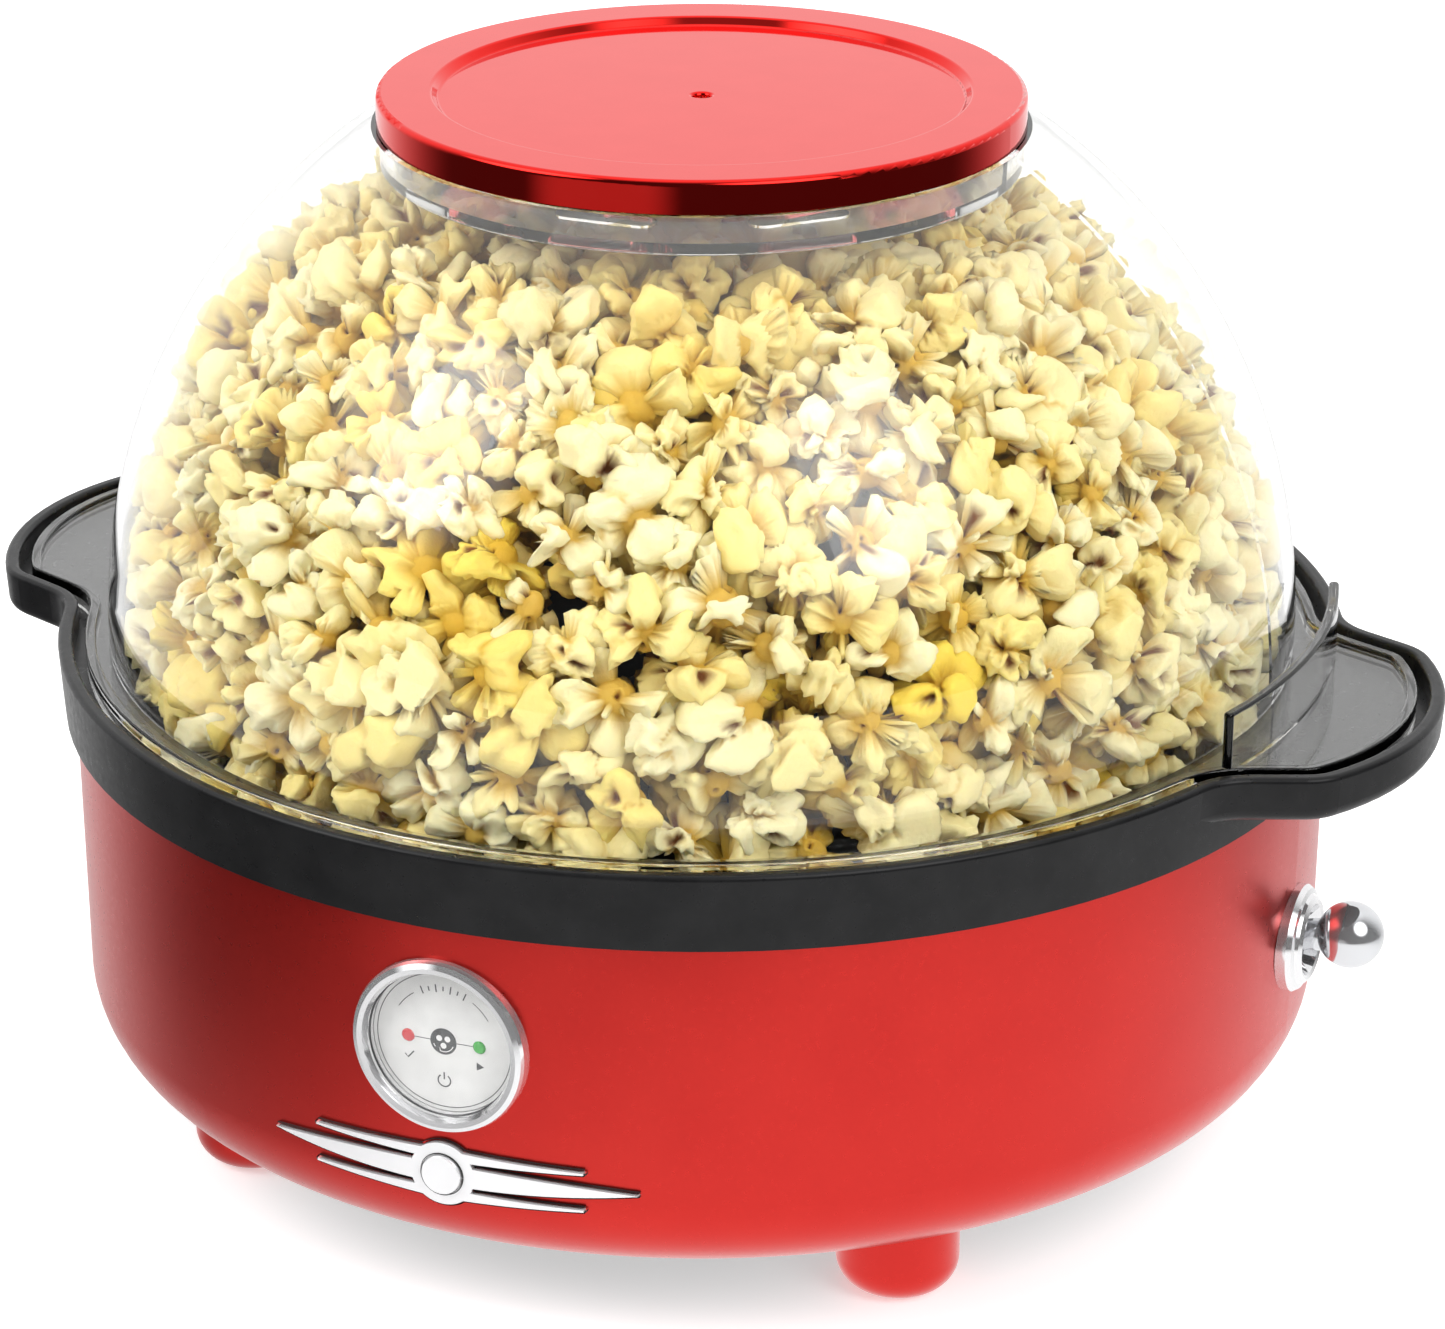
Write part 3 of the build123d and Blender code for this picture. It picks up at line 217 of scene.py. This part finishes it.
def nonstick():
    shader = Shader("nonstick_coating", (0.02, 0.02, 0.022), Specular_IOR_Level=0.6)
    shader.two_tone(shader.noise(2600, 3.0), (0.016, 0.016, 0.018), (0.07, 0.07, 0.075), 0.58, 0.74)
    shader.roughness(shader.noise(600, 4.0), 0.3, 0.42)
    return shader.bump(shader.noise(1800, 3.0), 0.2, 0.04 * MM)


def lamp_tint(name, colour):
    shader = Shader(name, colour, Specular_IOR_Level=0.6, Emission_Strength=0.06)
    shader.bsdf.inputs["Emission Color"].default_value = (*colour, 1)
    shader.roughness(shader.noise(900, 2.0), 0.08, 0.16)
    return shader


def winding():
    shader = Shader("copper_winding", (0.65, 0.27, 0.12), Metallic=0.9)
    shader.two_tone(shader.noise(1500, 2.0), (0.5, 0.18, 0.08), (0.75, 0.34, 0.16))
    shader.roughness(shader.noise(900, 2.0), 0.3, 0.5)
    return shader.bump(shader.noise(2500, 1.0), 0.5, 0.2 * MM)


SLOT_SHADERS = {
    "body_red": metallic_red(),
    "cap_red": mirror_red(),
    "ring_black": satin_black(),
    "inner_black": matt_black(),
    "dome_clear": clear_moulding("clear_dome", (0.985, 0.985, 0.975), (0.66, 0.66, 0.66),
                                 (0.93, 0.93, 0.92), 0.012),
    "lens_clear": clear_moulding("clear_lens", (0.99, 0.99, 0.99), (0.8, 0.8, 0.8),
                                 (0.97, 0.97, 0.97), 0.01),
    "chrome": chrome(),
    "chrome_dark": chrome("chrome_dark", (0.74, 0.75, 0.77)),
    "dial_white": plain("dial_white", (0.74, 0.74, 0.725), 0.35, 0.5, strength=0.03),
    "lamp_red": lamp_tint("lamp_red", (0.52, 0.012, 0.02)),
    "lamp_green": lamp_tint("lamp_green", (0.005, 0.30, 0.012)),
    "nonstick": nonstick(),
    "bare_aluminium": plain("bare_aluminium", (0.68, 0.68, 0.70), 0.25, 0.4, metallic=1.0),
    "ceramic_white": plain("ceramic_white", (0.78, 0.77, 0.72), 0.3, 0.45),
    "moulding_white": plain("moulding_white", (0.72, 0.71, 0.66), 0.4, 0.55),
    "coil_copper": winding(),
    "bush_brass": plain("bush_brass", (0.72, 0.52, 0.22), 0.22, 0.35, metallic=1.0),
    "gear_white": plain("gear_white", (0.78, 0.76, 0.68), 0.35, 0.5),
    "magnet_dark": plain("magnet_dark", (0.06, 0.06, 0.065), 0.4, 0.6, metallic=0.4),
    "grommet_rubber": plain("grommet_rubber", (0.018, 0.018, 0.018), 0.55, 0.75, strength=0.3),
    "zinc_steel": plain("zinc_steel", (0.6, 0.6, 0.62), 0.28, 0.42, metallic=1.0),
}
for entry in frame["record"]["subparts"]:
    node = nodes[entry["node"]]
    node.data.materials.clear()
    node.data.materials.append(SLOT_SHADERS[entry["material_slot"]].material)
nodes["front_trim"].data.materials[0] = satin_silver().material


# ---- Mesh helpers ---------------------------------------------------------------------------------
def mesh_object(name, points, faces, body, shader=None, smooth=True):
    """A new piece from points and faces, riding on a body."""
    mesh = bpy.data.meshes.new(name)
    mesh.from_pydata([tuple(p) for p in points], [], faces)
    mesh.update()
    if smooth:
        mesh.shade_smooth()
    if shader:
        mesh.materials.append(shader.material)
    piece = bpy.data.objects.new(name, mesh)
    bpy.context.scene.collection.objects.link(piece)
    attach(piece, body)
    return piece


# ---- Popped corn in the dome ------------------------------------------------------------------------
rng = np.random.default_rng(20)


def ball_grid(cells):
    """Unit ball as a cube with cells x cells quads on each side, blown up; (directions, quads)."""
    steps = np.tan(np.linspace(-math.pi / 4, math.pi / 4, cells + 1))
    points = {}
    order = []
    quads = []

    def index(point):
        key = tuple(np.round(point, 6))
        if key not in points:
            points[key] = len(order)
            order.append(point / np.linalg.norm(point))
        return points[key]

    for axis in range(3):
        for side in (1.0, -1.0):
            for i in range(cells):
                for j in range(cells):
                    corners = []
                    for a, b in ((i, j), (i + 1, j), (i + 1, j + 1), (i, j + 1)):
                        point = np.zeros(3)
                        point[axis] = side
                        point[(axis + 1) % 3] = steps[a]
                        point[(axis + 2) % 3] = steps[b]
                        corners.append(index(point))
                    quads.append(corners if side > 0 else corners[::-1])
    return np.array(order), np.array(quads)


def random_direction(count):
    """Evenly spread random directions."""
    vectors = rng.normal(size=(count, 3))
    return vectors / np.linalg.norm(vectors, axis=1)[:, None]


def reach(directions, centres, sizes):
    """How far each direction goes before it leaves each ellipsoid; sizes are stretch matrices."""
    along = np.einsum("kij,nj->nki", sizes, directions)
    start = np.einsum("kij,kj->ki", sizes, centres)
    a = (along ** 2).sum(2)
    b = (along * start).sum(2)
    inside = b ** 2 - a * ((start ** 2).sum(1) - 1)
    return np.where(inside > 0, (b + np.sqrt(np.maximum(inside, 0))) / a, 0.0)


def stretches(radii, variation):
    """Matrices that turn lobes of about these radii into unit balls, each squeezed its own way."""
    result = []
    for radius in radii:
        turn = np.array(Matrix.Rotation(rng.uniform(0, 2 * math.pi), 3, Vector(random_direction(1)[0])))
        result.append(np.diag(1 / (radius * (1 + rng.uniform(-variation, variation, 3)))) @ turn)
    return np.array(result)


def warped(directions, amount, pace, waves=5):
    """Directions pushed about by a few random waves, so that lobes curl instead of staying round."""
    pushes = rng.normal(size=(waves, 3)) * amount / math.sqrt(waves)
    phase = directions @ (rng.normal(size=(3, waves)) * pace) + rng.uniform(0, 6.28, waves)
    moved = directions + np.sin(phase) @ pushes
    return moved / np.linalg.norm(moved, axis=1)[:, None]


def spaced_directions(count, tries=60):
    """Directions that keep away from each other."""
    chosen = [random_direction(1)[0]]
    for _ in range(count - 1):
        options = random_direction(tries)
        nearest = (options @ np.array(chosen).T).max(1)
        chosen.append(options[nearest.argmin() if rng.random() < 0.6 else rng.integers(tries)])
    return np.array(chosen)


def popped_kernel(directions):
    """One burst kernel: curled petals that carry smaller ones, with deep creases and hull pits.
    Gives points of a mean radius near 1, a mask of the creases for painted shade and a hull mask for each
    direction."""
    lobes = rng.integers(5, 9)
    axes = spaced_directions(lobes)
    centres = axes * rng.uniform(0.46, 0.80, (lobes, 1))
    radii = rng.uniform(0.27, 0.47, lobes)
    balls, sizes = [centres], [stretches(radii, 0.34)]
    for centre, radius, axis in zip(centres, radii, axes):
        buds = rng.integers(2, 6)
        out = random_direction(buds) + axis * 0.9
        out /= np.linalg.norm(out, axis=1)[:, None]
        balls.append(centre + out * radius * rng.uniform(0.66, 0.98, (buds, 1)))
        sizes.append(stretches(radius * rng.uniform(0.26, 0.5, buds), 0.4))
    core = np.zeros((1, 3))
    core_radius = 0.34
    heart = np.eye(3)[None] / core_radius
    curled = warped(warped(directions, 0.24, 3.2), 0.09, 10.0)
    distance = reach(curled, np.vstack([*balls, core]), np.vstack([*sizes, heart]))
    sharp = 34.0
    top = distance.max(1)
    smooth = top + np.log(np.exp((distance - top[:, None]) * sharp).sum(1)) / sharp
    big = np.sort(reach(curled, np.vstack([centres, core]), np.vstack([sizes[0], heart])), axis=1)
    # Painted shade: the creases between lobes and the low parts get a mask that later deepens their colour
    # to amber.
    crease_shade = np.clip(1 - (big[:, -1] - big[:, -2]) / 0.12, 0, 1) * np.clip((0.98 - smooth) / 0.36, 0, 1)
    crease_shade = np.maximum(crease_shade, np.clip((0.62 - smooth) / 0.24, 0, 1))
    hull = np.zeros(len(directions))
    for _ in range(rng.integers(3, 8)):
        spot = random_direction(1)[0]
        spread = rng.uniform(0.15, 0.28)
        angle = np.arccos(np.clip(warped(directions, 0.1, 5.0) @ spot, -1, 1)) / spread
        smooth = smooth * (1 - 0.42 * np.exp(-angle ** 2) + 0.07 * np.exp(-((angle - 1.75) / 0.5) ** 2))
        hull = np.maximum(hull, np.clip(2.6 * np.exp(-angle ** 2) - 0.9, 0, 1))
    squash = 1 + rng.uniform(-0.2, 0.2, 3)
    return smooth[:, None] * directions * squash, crease_shade, hull


def heap_places():
    """Centres of the kernels that show: an outer layer against the dome, one behind it, and the top."""
    places = []
    for layer, (spacing, depth) in enumerate(((15.8 * MM, 10.2 * MM), (17.0 * MM, 22.0 * MM))):
        radius = DOME_OUTER - DOME_WALL - depth
        low, high = -0.125, 0.80
        count = int(2 * math.pi * radius ** 2 * (high - low) / (spacing ** 2 * HEXAGONAL))
        for k in range(count):
            height = low + (high - low) * (k + 0.5) / count
            turn = k * GOLDEN_TURN
            level = math.sqrt(1 - height ** 2)
            lift = np.clip((height - 0.25) / 0.5, 0, 1)
            swell = 1 + 0.45 * math.sin(turn + 2.2) + 0.3 * math.sin(2 * turn)
            inward = (lift * (4.0 + 4.5 * swell) + abs(rng.normal()) * 1.6) * MM
            r = radius - inward
            direction = np.array([level * math.cos(turn), level * math.sin(turn), height])
            places.append((layer, DOME_CENTRE + r * direction))
    top_radius, top_spacing = 78 * MM, 15.5 * MM
    crown, droop = 226 * MM, 8 * MM
    count = int(math.pi * top_radius ** 2 / (top_spacing ** 2 * HEXAGONAL))
    for k in range(count):
        r = top_radius * math.sqrt((k + 0.5) / count)
        turn = k * GOLDEN_TURN
        height = crown - droop * (r / top_radius) ** 2 + rng.normal() * 2.0 * MM
        places.append((0, np.array([r * math.cos(turn), r * math.sin(turn), height])))
    return places


def corn_shader():
    """Puffed starch: white on the lobes, yellow at random, dark amber where hull is left. Painted shade
    deepens the colour to amber in the creases, deeper in the heap and under the well, and makes the deeper
    parts more yellow.
    """
    shader = Shader("popped_corn", (0.9, 0.85, 0.6), Subsurface_Weight=0.25, Subsurface_Scale=0.004,
                    Specular_IOR_Level=0.35)
    shader.bsdf.inputs["Subsurface Radius"].default_value = (1.0, 0.7, 0.35)
    # The tone attribute carries painted shade in red, a yellow tone with painted shade in green and the hull
    # in blue.
    tone = shader.node("ShaderNodeAttribute", attribute_name="tone")
    split = shader.node("ShaderNodeSeparateColor")
    shader.link(tone.outputs["Color"], split.inputs["Color"])
    # Green: yellow tone, partly at random and partly painted shade that grows deeper in the heap.
    butter_and_shade = shader.node("ShaderNodeMix", data_type="RGBA")
    butter_and_shade.inputs["A"].default_value = (0.93, 0.85, 0.52, 1)
    butter_and_shade.inputs["B"].default_value = (0.89, 0.66, 0.09, 1)
    shader.link(split.outputs["Green"], butter_and_shade.inputs["Factor"])
    # Red: painted shade, a deep amber for the creases, the heap's inside, the inner layer and the part under
    # the well.
    deep = shader.node("ShaderNodeMix", data_type="RGBA")
    deep.inputs["B"].default_value = (0.62, 0.37, 0.025, 1)
    shader.link(butter_and_shade.outputs["Result"], deep.inputs["A"])
    shader.link(split.outputs["Red"], deep.inputs["Factor"])
    hull = shader.node("ShaderNodeMix", data_type="RGBA")
    hull.inputs["B"].default_value = (0.17, 0.052, 0.008, 1)
    shader.link(deep.outputs["Result"], hull.inputs["A"])
    shader.link(split.outputs["Blue"], hull.inputs["Factor"])
    shader.link(hull.outputs["Result"], shader.bsdf.inputs["Base Color"])
    shader.roughness(shader.noise(700, 4.0), 0.45, 0.65)
    return shader.bump(shader.noise(620, 7.0, 0.62), 0.55, 0.7 * MM)


def corn_heap():
    """Builds the kernels and joins them into a few pieces of bounded size. What would pass the dome's inside
    or the heap's top is pressed flat there, and painted shade deepens the colour inwards, in the creases and
    under the well."""
    shader = corn_shader()
    gap = 0.7 * MM
    limit = DOME_OUTER - DOME_WALL - gap
    groups = {}
    fine = ball_grid(17)
    coarse = ball_grid(9)
    per_piece = {0: 54, 1: 190}
    counts = {0: 0, 1: 0}
    for layer, place in heap_places():
        directions, quads = fine if layer == 0 else coarse
        points, crease_shade, hull = popped_kernel(directions)
        size = rng.uniform(8.8, 13.0) * MM
        turn = Matrix.Rotation(rng.uniform(0, 2 * math.pi), 3, Vector(random_direction(1)[0]))
        points = (points * size) @ np.array(turn).T + place
        offset = points - DOME_CENTRE
        distance = np.linalg.norm(offset, axis=1)
        offset *= np.minimum(1, limit / distance)[:, None]
        points = offset + DOME_CENTRE
        points[:, 2] = np.minimum(points[:, 2], HEAP_TOP)
        face = np.linalg.norm(place - DOME_CENTRE)
        # How far a point lies inside the heap's face, which drives painted shade between the kernels.
        buried = np.clip((face + 1.5 * MM - np.linalg.norm(offset, axis=1)) / (9 * MM), 0, 1)
        # Yellow tone: random for each kernel, plus painted shade that grows inwards and on the inner layer.
        butter_and_shade = np.clip(rng.normal(0.27, 0.26) + 0.7 * buried + 0.3 * layer, 0, 1)
        # Painted shade under the well: the colour deepens towards the heap's top.
        under_well_shade = np.clip((points[:, 2] - 200 * MM) / (30 * MM), 0, 1)
        # Painted shade: deep amber in the creases, inside the heap, on the inner layer and under the well.
        depth = np.clip(np.maximum(crease_shade, buried * 0.75) + 0.3 * layer + 0.22 * under_well_shade, 0, 1)
        tone = np.stack([depth * 0.9, butter_and_shade, hull, np.ones(len(points))], axis=1)
        key = f"popcorn_{'outer' if layer == 0 else 'inner'}_{counts[layer] // per_piece[layer] + 1}"
        counts[layer] += 1
        group = groups.setdefault(key, {"points": [], "faces": [], "tone": [], "start": 0})
        group["points"].append(points)
        group["faces"].append(quads + group["start"])
        group["tone"].append(tone)
        group["start"] += len(points)
    for name, group in groups.items():
        points = np.vstack(group["points"])
        faces = np.vstack(group["faces"])
        piece = mesh_object(name, points, faces.tolist(), "stirrer", shader=shader)
        colours = piece.data.attributes.new("tone", "FLOAT_COLOR", "POINT")
        colours.data.foreach_set("color", np.vstack(group["tone"]).astype(np.float32).ravel())


corn_heap()


# ---- Print on the dial ---------------------------------------------------------------------------------
def arc(radius, start, end, centre=(0, 0), steps=48):
    """Points along an arc in millimetres; angles in degrees, anticlockwise from the right."""
    turns = np.radians(np.linspace(start, end, steps + 1))
    return [(centre[0] + radius * math.cos(t), centre[1] + radius * math.sin(t)) for t in turns]


def stroke(line, width):
    """Points and faces of a flat ribbon of a width along a line of (u, v) points."""
    line = np.array(line, dtype=float)
    along = np.gradient(line, axis=0)
    along /= np.linalg.norm(along, axis=1)[:, None]
    side = np.stack([-along[:, 1], along[:, 0]], axis=1) * width / 2
    points = np.vstack([line - side, line + side])
    count = len(line)
    return points, [(k, k + 1, count + k + 1, count + k) for k in range(count - 1)]


def disc(radius, centre=(0, 0)):
    """Points and one face of a flat disc."""
    points = np.array(arc(radius, 0, 360, centre, 40)[:-1])
    return points, [tuple(range(len(points)))]


def print_on_dial(name, shapes, shader, lift):
    """Joins flat shapes into one piece just in front of the dial."""
    low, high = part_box("gauge_face")
    centre = (low + high) / 2
    points, faces = [], []
    for shape, corners in shapes:
        faces += [tuple(index + len(points) for index in face) for face in corners]
        points += [(centre.x + u * MM, low.y - lift, centre.z + v * MM) for u, v in shape]
    return mesh_object(name, points, faces, "base", shader=shader, smooth=False)


def dial_print():
    ink = plain("dial_ink", (0.045, 0.047, 0.05), 0.4, 0.5, strength=0.05)
    paper = plain("dial_ink_pale", (0.8, 0.8, 0.79), 0.4, 0.5, strength=0.05)
    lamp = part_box("lamp_green")
    lamp_u = (lamp[0].x + lamp[1].x) / 2 / MM
    lamp_r = (lamp[1].x - lamp[0].x) / 2 / MM
    hub = 3.2
    scale_r = 12.6
    edge = lamp_u - lamp_r
    lines = [stroke(arc(16.1, 0, 360, steps=120), 0.22), stroke(arc(scale_r, 32, 56), 0.2),
             stroke(arc(scale_r, 124, 148), 0.2), stroke([(hub, 0), (edge, 0)], 0.2),
             stroke([(-edge, 0), (-hub, 0)], 0.2), disc(hub)]
    for turn in range(66, 115, 8):
        a = math.radians(turn)
        long = 1.9 if (turn - 66) % 16 == 0 else 1.1
        ends = (scale_r - long / 2, scale_r + long / 2)
        lines.append(stroke([(r * math.cos(a), r * math.sin(a)) for r in ends], 0.32))
    tick = stroke([(-9.4, -4.6), (-8.7, -5.4), (-7.2, -3.7)], 0.34)
    arrow = (np.array([(7.9, -3.7), (7.9, -5.7), (9.7, -4.7)]), [(0, 1, 2)])
    power = [stroke(arc(1.5, 125, 415, (0, -9.6)), 0.34), stroke([(0, -9.3), (0, -7.5)], 0.34)]
    lines += [tick, arrow, *power]
    print_on_dial("dial_lines", lines, ink, 0.03 * MM)
    flower = [disc(0.72, (1.15 * math.cos(t), 1.15 * math.sin(t) + 0.1)) for t in np.radians((30, 150, 270))]
    flower += [stroke(arc(2.5, 200, 340), 0.22)]
    print_on_dial("dial_emblem", flower, paper, 0.06 * MM)


dial_print()


def trim_shadow_rim():
    """Painted shadow round the bright trim: a dark copy of its outline, grown a little and set back, put
    where the trim's thin shadow falls.
    """
    trim = nodes["front_trim"]
    mesh = trim.data.copy()
    mesh.name = "front_trim_shadow_rim"
    points = np.empty(len(mesh.vertices) * 3, dtype=np.float32)
    mesh.vertices.foreach_get("co", points)
    points = points.reshape(-1, 3)
    normals = np.array([vertex.normal[:] for vertex in mesh.vertices])
    normals[:, 1] = 0
    length = np.linalg.norm(normals, axis=1)[:, None]
    points += np.where(length > 0.2, normals / np.maximum(length, 0.2), 0) * 0.55 * MM
    points[:, 1] += 0.55 * MM
    mesh.vertices.foreach_set("co", points.ravel())
    mesh.update()
    # The rim takes the inner black as a painted shadow.
    mesh.materials.clear()
    mesh.materials.append(SLOT_SHADERS["inner_black"].material)
    piece = bpy.data.objects.new("front_trim_shadow_rim", mesh)
    bpy.context.scene.collection.objects.link(piece)
    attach(piece, "base")


trim_shadow_rim()


# ---- Stage, lamps and camera ---------------------------------------------------------------------------
def square_mesh(name, half):
    """Flat square on the floor, centred on its origin."""
    mesh = bpy.data.meshes.new(name)
    corners = [(-half, -half, 0), (half, -half, 0), (half, half, 0), (-half, half, 0)]
    mesh.from_pydata(corners, [], [(0, 1, 2, 3)])
    return mesh


def floor():
    """Wide pale floor. Reflections see the studio's world and the glow card instead of it."""
    mesh = square_mesh("floor", 6.0)
    shader = Shader("floor_white", (0.9, 0.9, 0.9), Roughness=0.8, Specular_IOR_Level=0.1,
                    Emission_Strength=0.5)
    shader.bsdf.inputs["Emission Color"].default_value = (1, 1, 1, 1)
    mesh.materials.append(shader.material)
    piece = bpy.data.objects.new("floor", mesh)
    piece.visible_glossy = False
    bpy.context.scene.collection.objects.link(piece)


def table_glow():
    """Card of light just under the floor, only for reflections; it fades out round its centre."""
    mesh = square_mesh("table_glow", 0.62)
    shader = Shader("table_glow", (0, 0, 0), Roughness=1.0, Specular_IOR_Level=0.0, Emission_Strength=1.12)
    shader.bsdf.inputs["Emission Color"].default_value = (1, 1, 1, 1)
    place = shader.node("ShaderNodeTexCoord")
    length = shader.node("ShaderNodeVectorMath", operation="LENGTH")
    shader.link(place.outputs["Object"], length.inputs[0])
    fade = shader.node("ShaderNodeMapRange", interpolation_type="SMOOTHSTEP")
    for socket, value in zip(RANGE_SOCKETS, (0.12, 0.47, 1.0, 0.0)):
        fade.inputs[socket].default_value = value
    shader.link(length.outputs["Value"], fade.inputs["Value"])
    shader.link(fade.outputs["Result"], shader.bsdf.inputs["Alpha"])
    mesh.materials.append(shader.material)
    piece = bpy.data.objects.new("table_glow", mesh)
    piece.location = (0.20, -0.12, -0.002)
    for ray in ("camera", "diffuse", "transmission", "shadow", "volume_scatter"):
        setattr(piece, f"visible_{ray}", False)
    bpy.context.scene.collection.objects.link(piece)


def outward(azimuth, elevation):
    """Unit vector towards an azimuth and an elevation in radians; azimuth 0 is the front (-Y)."""
    level = math.cos(elevation)
    return Vector((math.sin(azimuth) * level, -math.cos(azimuth) * level, math.sin(elevation)))


def lamp(name, azimuth, elevation, distance, size, power):
    """Rectangular softbox on a sphere round the object, which reflections don't see; degrees."""
    middle = Vector((0, 0, 0.12))
    data = bpy.data.lights.new(name, "AREA")
    data.shape = "RECTANGLE"
    data.size, data.size_y = size
    data.energy = power
    place = outward(math.radians(azimuth), math.radians(elevation)) * distance
    item = bpy.data.objects.new(name, data)
    item.location = place + middle
    item.rotation_euler = (-place).to_track_quat("-Z", "Y").to_euler()
    item.visible_glossy = False
    bpy.context.scene.collection.objects.link(item)


def studio():
    """A dim room with a wide glow behind, one overhead, two softboxes and a low card, and the lamps."""
    world = bpy.data.worlds.new("studio")
    bpy.context.scene.world = world
    world.use_nodes = True
    tree = world.node_tree
    background = tree.nodes["Background"]
    background.inputs["Strength"].default_value = 1.0
    direction = tree.nodes.new("ShaderNodeTexCoord").outputs["Generated"]

    def glow(axis, start, full, value):
        """Light that grows from a start to a full cosine off an axis."""
        dot = tree.nodes.new("ShaderNodeVectorMath")
        dot.operation = "DOT_PRODUCT"
        dot.inputs[1].default_value = Vector(axis).normalized()
        tree.links.new(direction, dot.inputs[0])
        ramp = tree.nodes.new("ShaderNodeMapRange")
        ramp.interpolation_type = "SMOOTHSTEP"
        for socket, number in zip(("From Min", "From Max", "To Max"), (start, full, value)):
            ramp.inputs[socket].default_value = number
        tree.links.new(dot.outputs["Value"], ramp.inputs["Value"])
        return ramp.outputs["Result"]

    total = glow((-0.38, 0.92, 0.55), -0.05, 0.75, 1.0)
    overhead = glow((0, 0, 1), 0.75, 1.0, 0.35)
    left_box = glow((-0.60, -0.50, 0.62), 0.90, 0.99, 3.4)
    right_box = glow((0.66, -0.40, 0.62), 0.88, 0.99, 3.2)
    low_card = glow((-0.21, -0.90, -0.38), 0.88, 0.97, 0.4)
    for part in (overhead, left_box, right_box, low_card):
        add = tree.nodes.new("ShaderNodeMath")
        tree.links.new(total, add.inputs[0])
        tree.links.new(part, add.inputs[1])
        total = add.outputs["Value"]
    base = tree.nodes.new("ShaderNodeMath")
    base.inputs[1].default_value = 0.07
    tree.links.new(total, base.inputs[0])
    tree.links.new(base.outputs["Value"], background.inputs["Color"])
    lamp("key_left", -42, 40, 1.7, (0.55, 0.9), 7.6)
    lamp("key_right", 62, 38, 1.7, (0.7, 1.0), 7.6)
    lamp("top", 20, 86, 1.6, (1.3, 1.3), 3.5)


def camera():
    azimuth, elevation = math.radians(22.33), math.radians(22.53)
    distance = 1.2265
    target = Vector((0, 0, 0.107))
    data = bpy.data.cameras.new("camera")
    data.sensor_width = 36
    data.lens = 124.24
    data.shift_x = 0.0144
    data.shift_y = 0.0096
    data.clip_end = 50
    item = bpy.data.objects.new("camera", data)
    away = outward(azimuth, elevation)
    item.location = target + away * distance
    item.rotation_euler = (-away).to_track_quat("-Z", "Y").to_euler()
    bpy.context.scene.collection.objects.link(item)
    bpy.context.scene.camera = item


floor()
table_glow()
studio()
camera()
bpy.context.scene.view_settings.view_transform = "Standard"
